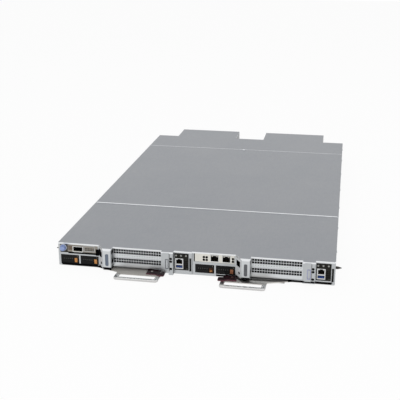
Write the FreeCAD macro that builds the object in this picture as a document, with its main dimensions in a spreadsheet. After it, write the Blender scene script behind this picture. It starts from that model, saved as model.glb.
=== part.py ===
import FreeCAD, Part
import math
import os
import Sketcher

# A two-node rack server sled, one open-rack unit high: millimetres, +Z up, front towards -Y,
# origin at the middle of the underside. Front sections are laid out per node: "across" runs
# from the node's left edge, "forward" from the plane of the drive bays towards the viewer.

DRIVING = {
    # chassis and covers
    "width": 537,
    "height": 47,
    "wall": 1.2,
    "cover_sheet": 1.2,
    "body_depth": 870,
    "tab_depth": 84,
    "tab_inner": 40.8,
    "tab_outer": 211.4,
    "front_seam": 241,
    "rear_seam": 750,
    "seam_gap": 0.6,
    "seam_chamfer": 0.8,
    "lip_reach": 12,
    "lip_sheet": 1.0,
    "raised_floor": 3.6,
    "raised_depth": 125,
    "side_rail": 6,
    "clearance": 0.3,
    "running_fit": 0.05,
    "cover_screw_radius": 3.4,
    "cover_screw_shank": 1.5,
    "cover_screw_inset": 6,
    "cover_screw_length": 3,
    # front panel of a node
    "panel_sheet": 1.2,
    "node_gap": 0.1,
    "bay_right": 82.5,
    "block_left": 94,
    "block_right": 112,
    "block_forward": 16,
    "grille_inset": 59.5,
    "grille_forward": 4.5,
    "grille_bottom": 7,
    "grille_top": 45,
    "retainer_inset": 36.5,
    "retainer_forward": 11,
    "io_forward": 2,
    "io_return": 1.5,
    "lever_slot_inner": 45,
    "block_slot_left": 84.3,
    "block_slot_width": 8.2,
    "block_slot_bottom": 27,
    "block_slot_height": 11.6,
    "block_hole_radius": 2.1,
    "block_hole_across": 90.5,
    "block_hole_level": 15,
    "card_gap_left": 20,
    "card_gap_height": 2.3,
    "lamp_hole_radius": 1.95,
    "lamp_hole_inset": 4,
    "lamp_hole_low": 12.8,
    "lamp_hole_middle": 27.8,
    "lamp_hole_high": 33.5,
    "side_slot_inset": 6.5,
    "side_slot_width": 4,
    "side_slot_bottom": 6.5,
    "side_slot_height": 27,
    # drive bays
    "bay_left": 4.5,
    "bay_width": 37,
    "bay_divider": 3,
    "bay_height": 17.6,
    "cage_sheet": 1.0,
    "cage_depth": 121,
    "card_ledge_level": 28.6,
    "card_ledge_width": 4.5,
    "bezel_depth": 12,
    "bezel_corner": 3.5,
    "rail_sheet": 1.1,
    "rail_length": 112,
    "vent_size": 2.2,
    "vent_pitch": 4.2,
    "vent_columns": 5,
    "vent_rows": 2,
    "vent_left": 4.6,
    "vent_level": 6.4,
    "drive_latch_left": 26,
    "drive_latch_width": 8.2,
    "drive_latch_bottom": 1.6,
    "drive_latch_height": 9,
    "drive_latch_thick": 2.4,
    "drive_latch_bevel": 0.6,
    "latch_stub": 0.8,
    "latch_stub_radius": 0.7,
    "module_height": 15,
    "module_length": 96,
    "module_groove_depth": 5,
    "module_groove_width": 2,
    "module_groove_pitch": 4,
    "module_grooves": 7,
    # network cards
    "bracket_left": 4,
    "bracket_width": 76,
    "bracket_bottom": 27.8,
    "bracket_height": 16.2,
    "card_sheet": 1.6,
    "card_depth": 112,
    "port_cage_left": 30.3,
    "port_cage_width": 19.4,
    "port_cage_height": 9.8,
    "port_cage_depth": 50,
    "port_wall": 0.6,
    "jack_first": 34,
    "jack_pitch": 22.6,
    "jack_width": 16,
    "jack_height": 13.2,
    "jack_depth": 18,
    "plug_width": 11.8,
    "plug_height": 8.4,
    "plug_depth": 13,
    "plug_bottom": 1.2,
    "notch_width": 6,
    "notch_height": 1.5,
    "knob_across": 10.6,
    "knob_level": 37,
    "knob_radius": 5.6,
    "knob_length": 7,
    "knob_flat": 1.4,
    "knob_shank_radius": 1.5,
    "knob_shank_length": 12,
    "card_vent_size": 2,
    "card_vent_pitch": 3.2,
    "card_vent_columns": 6,
    "card_vent_rows": 3,
    "card_vent_left": 54,
    "card_vent_bottom": 33,
    "card_hole_radius": 2.2,
    "card_hole_pitch": 5.5,
    "card_hole_across": 21.4,
    "card_hole_level": 32,
    "card_lamp_radius": 1.8,
    "card_lamp_inset": 2.8,
    # label post, slot covers and retainer
    "post_left": 96.2,
    "post_width": 14.6,
    "post_thick": 2,
    "label_width": 6.6,
    "label_height": 24.5,
    "label_bottom": 12,
    "label_recess": 0.8,
    "slot_pitch": 18.4,
    "slot_gap": 0.15,
    "slot_hole": 4.25,
    "slot_hole_pitch": 4.95,
    "slot_row_pitch": 5.2,
    "slot_top_margin": 1.5,
    "slot_dot": 1.0,
    "slot_dot_level": 3.4,
    "retainer_offset": 3.5,
    "retainer_width": 12,
    "retainer_thick": 1.6,
    "window_width": 4.8,
    "window_height": 18,
    "window_bottom": 14,
    "window_rim": 0.8,
    "window_recess": 0.8,
    # management block
    "io_offset": 1.4,
    "io_width": 27.2,
    "io_bottom": 8.3,
    "io_height": 34,
    "io_thick": 2,
    "io_proud": 0.4,
    "shell_offset": 1.4,
    "shell_width": 15.6,
    "shell_bottom": 10.8,
    "shell_height": 21.4,
    "shell_depth": 22,
    "shell_proud": 0.5,
    "usb_width": 12.8,
    "usb_height": 5.6,
    "usb_bottom": 2.2,
    "usb_depth": 16,
    "ether_bottom": 10.4,
    "button_radius": 1.75,
    "button_flange": 2.5,
    "button_flange_thick": 1.2,
    "button_offset": 3.2,
    "button_pitch": 9.6,
    "button_level": 38,
    "button_proud": 1.2,
    "lens_proud": 0.4,
    "io_vent_size": 2,
    "io_vent_pitch": 3.6,
    "io_vent_columns": 2,
    "io_vent_rows": 6,
    "io_vent_offset": 19.2,
    "io_vent_bottom": 11.5,
    # ejector levers
    "lever_reach": 52,
    "lever_bottom": 0.8,
    "lever_sheet": 1.8,
    "pivot_inset": 14.5,
    "pivot_back": 22,
    "boss_radius": 9.6,
    "pivot_radius": 3,
    "pivot_head_radius": 5.5,
    "pivot_head": 0.6,
    "heel_length": 18,
    "heel_width": 8,
    "heel_tip": 4,
    "heel_notch_front": 4,
    "heel_notch_back": 42,
    "grip_inner": 58,
    "grip_outer": 144,
    "grip_bar": 8,
    "grip_back": 27,
    "grip_thick": 2.4,
    "grip_round": 6,
    "rim_back": 34,
    "rim_thick": 4.4,
    "shoulder_reach": 64,
    "shoulder_forward": 2,
    "arm_front": 12,
    "arm_back": 31,
    "catch_across": 78,
    "catch_forward": 10,
    "catch_pin_radius": 2,
    "catch_thick": 2.1,
    "catch_outer": 87,
    "catch_inner": 51.5,
    "catch_front": 22,
    "catch_tip_front": 27,
    "catch_tip_width": 9,
    "catch_back": 2,
    "catch_round": 3,
    # guide pins and power connector
    "guide_radius": 2.7,
    "guide_collar": 3.2,
    "guide_reach": 11,
    "guide_cone": 7,
    "guide_tip": 0.7,
    "guide_back": 22,
    "guide_level": 26,
    "guide_head": 4.2,
    "guide_head_thick": 0.9,
    "busbar_width": 56,
    "busbar_height": 26,
    "busbar_depth": 48,
    "busbar_slot": 12,
    "busbar_slot_depth": 32,
    "busbar_lead": 4,
    "busbar_flange": 72,
    "busbar_flange_thick": 2,
    "busbar_level": 5,
    # inside
    "board_left": 10,
    "board_margin": 12.5,
    "board_front": 330,
    "board_depth": 360,
    "board_level": 6,
    "board_sheet": 1.6,
    "standoff_radius": 3,
    "standoff_inset": 8,
    "sink_width": 112,
    "sink_front": 470,
    "sink_depth": 105,
    "sink_base": 6,
    "sink_height": 33,
    "fin_sheet": 1.6,
    "fin_pitch": 5,
    "fin_count": 22,
    "dimm_gap": 7,
    "dimm_pitch": 9,
    "dimm_count": 4,
    "dimm_front": 455,
    "dimm_length": 133,
    "dimm_socket": 4,
    "dimm_socket_height": 8,
    "dimm_board": 2,
    "dimm_height": 31,
    # fans
    "grille_sheet": 1.0,
    "rear_slot": 3.2,
    "rear_slot_pitch": 5.4,
    "rear_slot_count": 30,
    "rear_slot_height": 34,
    "rear_slot_bottom": 5,
    "rear_frame": 4,
    "fan_size": 40,
    "fan_depth": 56,
    "fan_count": 4,
    "fan_bore": 18.8,
    "fan_shaft": 1.5,
    "fan_shaft_length": 36,
    "fan_mount_radius": 9,
    "fan_mount_thick": 5,
    "fan_strut": 3,
    "hub_radius": 10,
    "hub_length": 38,
    "blade_count": 7,
    "blade_tip": 17,
    "blade_chord": 24,
    "blade_pitch": 0.42,
    "blade_camber": 0.07,
    "blade_thick": 1.2,
}

doc = FreeCAD.newDocument("rack_server")
sheet = doc.addObject("Spreadsheet::Sheet", "Sizes")
for row, (alias, number) in enumerate(DRIVING.items(), start=1):
    sheet.set("A%d" % row, alias)
    sheet.set("B%d" % row, str(number))
    sheet.setAlias("B%d" % row, alias)
doc.recompute()


class Size:
    """A number together with the sheet formula that drives it."""

    def __init__(self, value, formula):
        self.value = value
        self.formula = formula

    def __add__(self, other):
        other = as_size(other)
        return Size(self.value + other.value, "(%s + %s)" % (self.formula, other.formula))

    def __sub__(self, other):
        other = as_size(other)
        return Size(self.value - other.value, "(%s - %s)" % (self.formula, other.formula))

    def __mul__(self, other):
        other = as_size(other)
        return Size(self.value * other.value, "(%s * %s)" % (self.formula, other.formula))

    def __truediv__(self, other):
        other = as_size(other)
        return Size(self.value / other.value, "(%s / %s)" % (self.formula, other.formula))

    def __radd__(self, other):
        return as_size(other) + self

    def __rsub__(self, other):
        return as_size(other) - self

    def __rmul__(self, other):
        return as_size(other) * self

    def __neg__(self):
        return self * -1

    def whole(self):
        return Size(math.floor(self.value), "floor(%s)" % self.formula)


class Cells:
    """The sheet's aliases as attributes, each a Size."""

    def __getattr__(self, alias):
        return Size(float(sheet.get(alias)), "Sizes." + alias)


def as_size(item):
    if isinstance(item, Size):
        return item
    return Size(float(item), "%.9g" % item)


d = Cells()
node_pitch = d.width / 2
front_y = (d.lever_reach - d.body_depth - d.tab_depth) / 2
cover_bottom = d.height - d.cover_sheet
floor_top = d.raised_floor + d.wall
bay_top = floor_top + d.bay_height
lever_top = d.lever_bottom + d.lever_sheet
pivot_across = d.width / 2 - d.pivot_inset
grille_right = node_pitch - d.grille_inset
retainer_right = node_pitch - d.retainer_inset
io_left = retainer_right + d.io_offset
shell_left = io_left + d.shell_offset
NODES = {"left": -node_pitch, "right": 0 * node_pitch}
SIDES = {"left": -1, "right": 1}
finished = []


# Helpers: every size that they take is bound to the sheet.

def bind(item, path, size):
    item.setExpression(path, as_size(size).formula)


def place(item, x, y, z):
    for axis, size in zip("xyz", (x, y, z)):
        bind(item, "Placement.Base." + axis, size)


def finish(item, label):
    item.Label = label
    finished.append(item)
    return item


def new_body(name, x=0, y=front_y, z=0):
    body = doc.addObject("PartDesign::Body", name)
    place(body, x, y, z)
    return body


def new_sketch(body, plane, offset=0):
    sketch = body.newObject("Sketcher::SketchObject", "profile")
    datum = next(item for item in body.Origin.OriginFeatures if item.Role == plane + "_Plane")
    sketch.AttachmentSupport = [(datum, "")]
    sketch.MapMode = "FlatFace"
    bind(sketch, "AttachmentOffset.Base.z", offset)
    return sketch


def fix_point(sketch, geometry, point, x, y):
    for kind, size in (("DistanceX", x), ("DistanceY", y)):
        rule = Sketcher.Constraint(kind, -1, 1, geometry, point, as_size(size).value)
        index = sketch.addConstraint(rule)
        bind(sketch, "Constraints[%d]" % index, size)


def add_polygon(sketch, corners):
    points = [FreeCAD.Vector(as_size(x).value, as_size(y).value, 0) for x, y in corners]
    first = sketch.GeometryCount
    count = len(points)
    for i in range(count):
        sketch.addGeometry(Part.LineSegment(points[i], points[(i + 1) % count]))
    for i, (x, y) in enumerate(corners):
        sketch.addConstraint(Sketcher.Constraint("Coincident", first + i, 2, first + (i + 1) % count, 1))
        fix_point(sketch, first + i, 1, x, y)
    return sketch


def add_rectangle(sketch, x, y, width, height):
    return add_polygon(sketch, [(x, y), (x + width, y), (x + width, y + height), (x, y + height)])


def add_circle(sketch, x, y, radius):
    middle = FreeCAD.Vector(as_size(x).value, as_size(y).value, 0)
    index = sketch.addGeometry(Part.Circle(middle, FreeCAD.Vector(0, 0, 1), as_size(radius).value))
    fix_point(sketch, index, 3, x, y)
    rule = sketch.addConstraint(Sketcher.Constraint("Radius", index, as_size(radius).value))
    bind(sketch, "Constraints[%d]" % rule, radius)
    return sketch


def pad(body, sketch, length, reverse=False):
    feature = body.newObject("PartDesign::Pad", "pad")
    feature.Profile = sketch
    feature.Reversed = reverse
    bind(feature, "Length", length)
    return feature


def cut_through(body, sketch):
    feature = body.newObject("PartDesign::Pocket", "opening")
    feature.Profile = sketch
    feature.Type = "ThroughAll"
    feature.SideType = "Symmetric"
    return feature


def cut_depth(body, sketch, depth, reverse=False):
    feature = body.newObject("PartDesign::Pocket", "recess")
    feature.Profile = sketch
    feature.Reversed = reverse
    bind(feature, "Length", depth)
    return feature


def repeat(body, feature, sketch, pitch, count, pitch_up=None, count_up=None):
    pattern = body.newObject("PartDesign::LinearPattern", "rows")
    pattern.Originals = [feature]
    pattern.Direction = (sketch, ["H_Axis"])
    pattern.Mode = "Spacing"
    bind(pattern, "Offset", pitch)
    bind(pattern, "Occurrences", count)
    if pitch_up is not None:
        pattern.Direction2 = (sketch, ["V_Axis"])
        pattern.Mode2 = "Spacing"
        bind(pattern, "Offset2", pitch_up)
        bind(pattern, "Occurrences2", count_up)
    body.Tip = pattern
    return pattern


def plate(name, x, z, width, height, back, thick, left=0):
    """An upright plate whose back face lies at y = back."""
    body = new_body(name, left)
    sketch = new_sketch(body, "XZ", -as_size(back))
    add_rectangle(sketch, x, z, width, height)
    pad(body, sketch, thick)
    return body


def round_edges(body, radius, wanted):
    """Rounds the edges of the body's tip for which wanted(edge) holds."""
    doc.recompute()
    tip = body.Tip
    names = ["Edge%d" % i for i, edge in enumerate(tip.Shape.Edges, start=1) if wanted(edge)]
    feature = body.newObject("PartDesign::Fillet", "round")
    feature.Base = (tip, names)
    bind(feature, "Radius", radius)
    return feature


def group(label, members):
    compound = doc.addObject("Part::Compound", label)
    compound.Links = members
    return finish(compound, label)


def is_upright(edge):
    low, high = edge.BoundBox.ZMin, edge.BoundBox.ZMax
    return edge.BoundBox.XLength < 1e-6 and edge.BoundBox.YLength < 1e-6 and high > low


# Chassis and covers

def tray_outline(inset, front):
    """Plan of the tray, with the two rear tabs, set in by a wall."""
    half = d.width / 2 - inset
    back = d.body_depth - inset
    tab_back = d.body_depth + d.tab_depth - inset
    right = [
        (half, front),
        (half, back),
        (d.tab_outer - inset, back),
        (d.tab_outer - inset, tab_back),
        (d.tab_inner + inset, tab_back),
        (d.tab_inner + inset, back),
    ]
    return right + [(-x, y) for x, y in reversed(right)]


def make_chassis():
    body = new_body("chassis_base")
    pad(body, add_polygon(new_sketch(body, "XY"), tray_outline(as_size(0), d.panel_sheet)), cover_bottom)
    main_floor = new_sketch(body, "XY", cover_bottom)
    add_polygon(main_floor, tray_outline(d.wall, d.raised_depth + d.wall))
    cut_depth(body, main_floor, cover_bottom - d.wall)
    front_floor = new_sketch(body, "XY", cover_bottom)
    inside = d.width - 2 * d.wall
    add_rectangle(front_floor, -inside / 2, 0, inside, d.raised_depth + d.wall)
    cut_depth(body, front_floor, cover_bottom - d.raised_floor)
    lever_space = new_sketch(body, "XY")
    between = d.width - 2 * d.side_rail
    add_rectangle(lever_space, -between / 2, 0, between, d.raised_depth + d.wall)
    cut_depth(body, lever_space, d.raised_floor, reverse=True)
    heel_notch = new_sketch(body, "XY")
    notch = d.heel_notch_back - d.heel_notch_front
    add_rectangle(heel_notch, -d.width / 2 - d.wall, d.heel_notch_front, d.width + 2 * d.wall, notch)
    cut_depth(body, heel_notch, d.raised_floor, reverse=True)
    fan_outlets = new_sketch(body, "XZ", -(d.body_depth + d.tab_depth))
    outlet = d.tab_outer - d.tab_inner - 2 * d.wall - 2 * d.rear_frame
    for x in (d.tab_inner + d.wall + d.rear_frame, -d.tab_outer + d.wall + d.rear_frame):
        add_rectangle(fan_outlets, x, d.wall + d.rear_frame / 2, outlet, cover_bottom - d.wall - d.rear_frame)
    cut_depth(body, fan_outlets, d.wall * 2, reverse=True)
    guide_holes = new_sketch(body, "YZ")
    add_circle(guide_holes, d.guide_back, d.guide_level, d.guide_collar)
    cut_through(body, guide_holes)
    return finish(body, "chassis_base")


def make_front_floor():
    """The raised floor over the levers, on the side rails, with a riser down to the main floor."""
    body = new_body("front_floor")
    deck = new_sketch(body, "XY", d.raised_floor)
    inside = d.width - 2 * d.wall
    deep = d.raised_depth + d.wall - d.panel_sheet
    add_rectangle(deck, -inside / 2, d.panel_sheet, inside, deep)
    pad(body, deck, d.wall)
    riser = new_sketch(body, "XY")
    between = d.width - 2 * d.side_rail
    add_rectangle(riser, -between / 2, d.raised_depth, between, d.wall)
    pad(body, riser, d.raised_floor)
    finish(body, "front_floor")


def front_profile():
    """Outer corners of a node's stepped front, left to right, and the same set in by the sheet."""
    inner = d.panel_sheet
    edge = d.node_gap
    turn = node_pitch - d.io_return
    outer = [
        (edge, 0, 0),
        (d.bay_right, 0, 1),
        (d.block_left, d.block_forward, 1),
        (d.block_right, d.block_forward, -1),
        (d.block_right, d.grille_forward, -1),
        (grille_right, d.grille_forward, 1),
        (grille_right, d.retainer_forward, 1),
        (retainer_right, d.retainer_forward, -1),
        (retainer_right, d.io_forward, -1),
        (turn, d.io_forward, -1),
        (turn, 0, -1),
        (node_pitch - edge, 0, 0),
    ]
    front = [(across, -as_size(forward)) for across, forward, side in outer]
    back = [(across + inner * side, inner - forward) for across, forward, side in outer]
    return front, back


def make_front_panel(side, left):
    body = new_body("front_panel_" + side, left)
    front, back = front_profile()
    pad(body, add_polygon(new_sketch(body, "XY"), front + back[::-1]), cover_bottom)
    openings = new_sketch(body, "XZ")
    for bay in range(2):
        bay_x = d.bay_left + bay * (d.bay_width + d.bay_divider)
        add_rectangle(openings, bay_x, floor_top, d.bay_width, d.bay_height)
    edge = d.clearance
    bracket_wide = d.bracket_width + 2 * edge
    bracket_tall = d.bracket_height + 2 * edge
    add_rectangle(openings, d.bracket_left - edge, d.bracket_bottom - edge, bracket_wide, bracket_tall)
    add_rectangle(openings, d.block_slot_left, d.block_slot_bottom, d.block_slot_width, d.block_slot_height)
    add_circle(openings, d.block_hole_across, d.block_hole_level, d.block_hole_radius)
    if side == "left":
        gap_top = d.bracket_bottom - edge
        gap_right = d.bracket_left + d.bracket_width
        gap_bottom = gap_top - d.card_gap_height
        add_rectangle(openings, d.card_gap_left, gap_bottom, gap_right - d.card_gap_left, d.card_gap_height)
    grille_width = grille_right - d.block_right
    grille_sill = d.grille_bottom + d.wall
    add_rectangle(openings, d.block_right, grille_sill, grille_width, d.grille_top - grille_sill)
    for level in (d.lamp_hole_low, d.lamp_hole_middle, d.lamp_hole_high):
        add_circle(openings, retainer_right - d.lamp_hole_inset, level, d.lamp_hole_radius)
    io_wide = d.io_width + 2 * edge
    add_rectangle(openings, io_left - edge, d.io_bottom - edge, io_wide, d.io_height + 2 * edge)
    side_slot = node_pitch - d.side_slot_inset
    add_rectangle(openings, side_slot, d.side_slot_bottom, d.side_slot_width, d.side_slot_height)
    cut_through(body, openings)
    slot_left = d.side_rail if side == "left" else d.lever_slot_inner
    slot_right = node_pitch - (d.lever_slot_inner if side == "left" else d.side_rail)
    lever_slot = new_sketch(body, "XZ")
    add_polygon(lever_slot, [
        (slot_left, -d.wall),
        (slot_right, -d.wall),
        (slot_right, d.raised_floor),
        (grille_right, d.raised_floor),
        (grille_right, d.grille_bottom),
        (d.bay_right, d.grille_bottom),
        (d.bay_right, d.raised_floor),
        (slot_left, d.raised_floor),
    ])
    cut_through(body, lever_slot)
    return finish(body, "front_panel_" + side)


def add_lip(body, front, back):
    """The joggled lip that passes under the next cover."""
    sketch = new_sketch(body, "XY", cover_bottom - d.lip_sheet)
    inside = d.width - 2 * d.wall - 2 * d.clearance
    add_rectangle(sketch, -inside / 2, front, inside, back - front)
    pad(body, sketch, d.lip_sheet)


def chamfer_front(body, y):
    """Bevels the front top edge of a cover along the seam."""
    sketch = new_sketch(body, "YZ")
    add_polygon(sketch, [
        (y - d.seam_chamfer, d.height + d.seam_chamfer),
        (y - d.seam_chamfer, d.height - d.seam_chamfer),
        (y, d.height - d.seam_chamfer),
        (y + d.seam_chamfer, d.height),
        (y + d.seam_chamfer, d.height + d.seam_chamfer),
    ])
    cut_through(body, sketch)


def make_covers():
    half = d.width / 2
    front, back = front_profile()
    front_end = d.front_seam - d.seam_gap / 2
    middle_start = d.front_seam + d.seam_gap / 2
    middle_end = d.rear_seam - d.seam_gap / 2
    rear_start = d.rear_seam + d.seam_gap / 2
    cover = new_body("top_cover_front")
    edge = [(x - half, y) for x, y in front[1:-1]] + [(x, y) for x, y in front[1:-1]]
    corners = [(-half, 0)] + edge + [(half, 0), (half, front_end), (-half, front_end)]
    pad(cover, add_polygon(new_sketch(cover, "XY", cover_bottom), corners), d.cover_sheet)
    add_lip(cover, front_end - d.lip_reach, front_end + d.lip_reach)
    finish(cover, "top_cover_front")
    cover = new_body("top_cover_middle")
    sketch = new_sketch(cover, "XY", cover_bottom)
    add_rectangle(sketch, -half, middle_start, d.width, middle_end - middle_start)
    add_circle(sketch, 0, d.rear_seam - d.cover_screw_inset, d.cover_screw_radius + d.clearance)
    pad(cover, sketch, d.cover_sheet)
    chamfer_front(cover, middle_start)
    finish(cover, "top_cover_middle")
    cover = new_body("top_cover_rear")
    sketch = new_sketch(cover, "XY", cover_bottom)
    pad(cover, add_polygon(sketch, tray_outline(as_size(0), rear_start)), d.cover_sheet)
    add_lip(cover, rear_start - d.lip_reach, rear_start + d.lip_reach)
    chamfer_front(cover, rear_start)
    screw_hole = new_sketch(cover, "XY")
    add_circle(screw_hole, 0, d.rear_seam - d.cover_screw_inset, d.cover_screw_shank)
    cut_through(cover, screw_hole)
    finish(cover, "top_cover_rear")


def make_cover_screw():
    body = new_body("cover_screw", 0, front_y + d.rear_seam - d.cover_screw_inset, cover_bottom)
    pad(body, add_circle(new_sketch(body, "XY"), 0, 0, d.cover_screw_radius), d.cover_sheet)
    shank = add_circle(new_sketch(body, "XY"), 0, 0, d.cover_screw_shank)
    pad(body, shank, d.cover_screw_length, reverse=True)
    finish(body, "cover_screw")


# Drive bays

def bay_corner(left, bay):
    return left + d.bay_left + bay * (d.bay_width + d.bay_divider)


def make_drive_cage(side, left):
    body = new_body("drive_cage_" + side, left)
    sketch = new_sketch(body, "XZ", -d.panel_sheet)
    thick = d.cage_sheet
    first = d.bay_left
    divider = first + d.bay_width
    second = divider + d.bay_divider
    end = second + d.bay_width
    ledge = d.card_ledge_level
    add_polygon(sketch, [
        (first - thick, floor_top),
        (first - thick, ledge),
        (first + d.card_ledge_width, ledge),
        (first + d.card_ledge_width, ledge - thick),
        (first, ledge - thick),
        (first, bay_top + thick),
        (end, bay_top + thick),
        (end, ledge - thick),
        (end - d.card_ledge_width, ledge - thick),
        (end - d.card_ledge_width, ledge),
        (end + thick, ledge),
        (end + thick, floor_top),
        (end, floor_top),
        (end, bay_top),
        (second, bay_top),
        (second, floor_top),
        (divider, floor_top),
        (divider, bay_top),
        (first, bay_top),
        (first, floor_top),
    ])
    pad(body, sketch, d.cage_depth - d.panel_sheet, reverse=True)
    finish(body, "drive_cage_" + side)


def make_drive_carrier(number, left, bay):
    gap = d.clearance
    wide = d.bay_width - 2 * gap
    tall = d.bay_height - 2 * gap
    body = new_body("drive_carrier_%d" % number, bay_corner(left, bay) + gap, front_y, floor_top + gap)
    bezel = new_sketch(body, "XZ")
    add_polygon(bezel, [(d.bezel_corner, 0), (wide, 0), (wide, tall), (0, tall), (0, d.bezel_corner)])
    pad(body, bezel, d.bezel_depth, reverse=True)
    rails = new_sketch(body, "XZ", -d.bezel_depth)
    for x in (as_size(0), wide - d.rail_sheet):
        add_rectangle(rails, x, d.bezel_corner, d.rail_sheet, tall - 2 * d.bezel_corner)
    pad(body, rails, d.rail_length - d.bezel_depth, reverse=True)
    vent = new_sketch(body, "XZ")
    add_rectangle(vent, d.vent_left, d.vent_level, d.vent_size, d.vent_size)
    holes = cut_depth(body, vent, d.bezel_depth)
    repeat(body, holes, vent, d.vent_pitch, d.vent_columns, d.vent_pitch, d.vent_rows)
    seat = new_sketch(body, "XZ")
    add_rectangle(
        seat, d.drive_latch_left - gap, d.drive_latch_bottom - gap,
        d.drive_latch_width + 2 * gap, d.drive_latch_height + 2 * gap,
    )
    cut_depth(body, seat, d.drive_latch_thick + 2 * gap)
    stub_holes = new_sketch(body, "XY", d.drive_latch_bottom - gap - d.latch_stub)
    pin_x = d.drive_latch_left + d.drive_latch_width - d.drive_latch_thick / 2
    add_circle(stub_holes, pin_x, gap + d.drive_latch_thick / 2, d.latch_stub_radius + d.running_fit)
    cut_depth(body, stub_holes, d.drive_latch_height + 2 * gap + 2 * d.latch_stub, reverse=True)
    finish(body, "drive_carrier_%d" % number)


def make_drive_latch(number, left, bay):
    gap = d.clearance
    thick = d.drive_latch_thick
    origin_x = bay_corner(left, bay) + gap + d.drive_latch_left
    origin_z = floor_top + gap + d.drive_latch_bottom
    body = new_body("drive_latch_%d" % number, origin_x, front_y + gap, origin_z)
    pin_x = d.drive_latch_width - thick / 2
    lever = new_sketch(body, "XY")
    bevel = d.drive_latch_bevel
    add_polygon(lever, [(0, bevel), (2 * bevel, 0), (pin_x, 0), (pin_x, thick), (0, thick)])
    pad(body, lever, d.drive_latch_height)
    pad(body, add_circle(new_sketch(body, "XY"), pin_x, thick / 2, thick / 2), d.drive_latch_height)
    reach = gap + d.latch_stub - d.running_fit
    stub = new_sketch(body, "XY", -reach)
    add_circle(stub, pin_x, thick / 2, d.latch_stub_radius)
    pad(body, stub, d.drive_latch_height + 2 * reach)
    finish(body, "drive_latch_%d" % number)


def make_drive_module(number, left, bay):
    gap = d.clearance
    wide = d.bay_width - 2 * gap - 2 * d.rail_sheet
    lift = (d.bay_height - 2 * gap - d.module_height) / 2
    origin_x = bay_corner(left, bay) + gap + d.rail_sheet
    body = new_body("drive_module_%d" % number, origin_x, front_y + d.bezel_depth, floor_top + gap + lift)
    case = add_rectangle(new_sketch(body, "XZ"), 0, 0, wide, d.module_height)
    pad(body, case, d.module_length, reverse=True)
    groove = new_sketch(body, "XZ")
    grooves = d.module_groove_pitch * (d.module_grooves - 1) + d.module_groove_width
    start = (wide - grooves) / 2
    groove_floor = d.module_height - d.module_groove_depth
    add_rectangle(groove, start, groove_floor, d.module_groove_width, d.module_groove_depth)
    cutter = cut_through(body, groove)
    repeat(body, cutter, groove, d.module_groove_pitch, d.module_grooves)
    finish(body, "drive_module_%d" % number)


# Network cards

def make_bracket(label, left):
    body = new_body(label, left)
    sketch = new_sketch(body, "XZ", -d.panel_sheet)
    add_rectangle(sketch, d.bracket_left, d.bracket_bottom, d.bracket_width, d.bracket_height)
    return body, sketch


def make_card(label, left):
    """The card's board on the cage ledges, behind its bracket."""
    body = new_body(label, left)
    edge = d.clearance
    board = new_sketch(body, "XY", d.card_ledge_level)
    wide = 2 * d.bay_width + d.bay_divider - 2 * edge
    add_rectangle(board, d.bay_left + edge, d.panel_sheet, wide, d.card_depth)
    pad(body, board, d.card_sheet)
    return body


def make_qsfp_card(left):
    edge = d.clearance
    card_top = d.card_ledge_level + d.card_sheet
    body, sketch = make_bracket("qsfp_bracket", left)
    wide = d.port_cage_width + 2 * edge
    add_rectangle(sketch, d.port_cage_left - edge, card_top - edge, wide, d.port_cage_height + 2 * edge)
    add_circle(sketch, d.knob_across, d.knob_level, d.knob_shank_radius + d.running_fit)
    pad(body, sketch, d.panel_sheet)
    vent = new_sketch(body, "XZ")
    add_rectangle(vent, d.card_vent_left, d.card_vent_bottom, d.card_vent_size, d.card_vent_size)
    holes = cut_through(body, vent)
    repeat(body, holes, vent, d.card_vent_pitch, d.card_vent_columns, d.card_vent_pitch, d.card_vent_rows)
    finish(body, "qsfp_bracket")
    body = make_card("qsfp_card", left)
    cage = new_sketch(body, "XZ")
    add_rectangle(cage, d.port_cage_left, card_top, d.port_cage_width, d.port_cage_height)
    pad(body, cage, d.port_cage_depth, reverse=True)
    mouth = new_sketch(body, "XZ")
    add_rectangle(
        mouth, d.port_cage_left + d.port_wall, card_top + d.port_wall,
        d.port_cage_width - 2 * d.port_wall, d.port_cage_height - 2 * d.port_wall,
    )
    cut_depth(body, mouth, d.port_cage_depth - d.port_wall)
    finish(body, "qsfp_card")


def make_thumbscrew(left):
    body = new_body("card_thumbscrew", left + d.knob_across, front_y, d.knob_level)
    edge = d.clearance
    knob = new_sketch(body, "XZ", edge)
    pad(body, add_circle(knob, 0, 0, d.knob_radius), d.knob_length)
    flat = new_sketch(body, "XZ", d.knob_length + edge)
    for x in (-d.knob_radius, d.knob_radius - d.knob_flat):
        add_rectangle(flat, x, -d.knob_radius, d.knob_flat, 2 * d.knob_radius)
    cut_depth(body, flat, d.knob_length / 2)
    shank = new_sketch(body, "XZ", edge)
    pad(body, add_circle(shank, 0, 0, d.knob_shank_radius), d.knob_shank_length, reverse=True)
    finish(body, "card_thumbscrew")


def add_plug_mouth(sketch, x, z):
    """A plug's mouth with the notch for its catch on top."""
    notch = x + (d.plug_width - d.notch_width) / 2
    top = z + d.plug_height
    add_polygon(sketch, [
        (x, z),
        (x + d.plug_width, z),
        (x + d.plug_width, top),
        (notch + d.notch_width, top),
        (notch + d.notch_width, top + d.notch_height),
        (notch, top + d.notch_height),
        (notch, top),
        (x, top),
    ])


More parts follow.
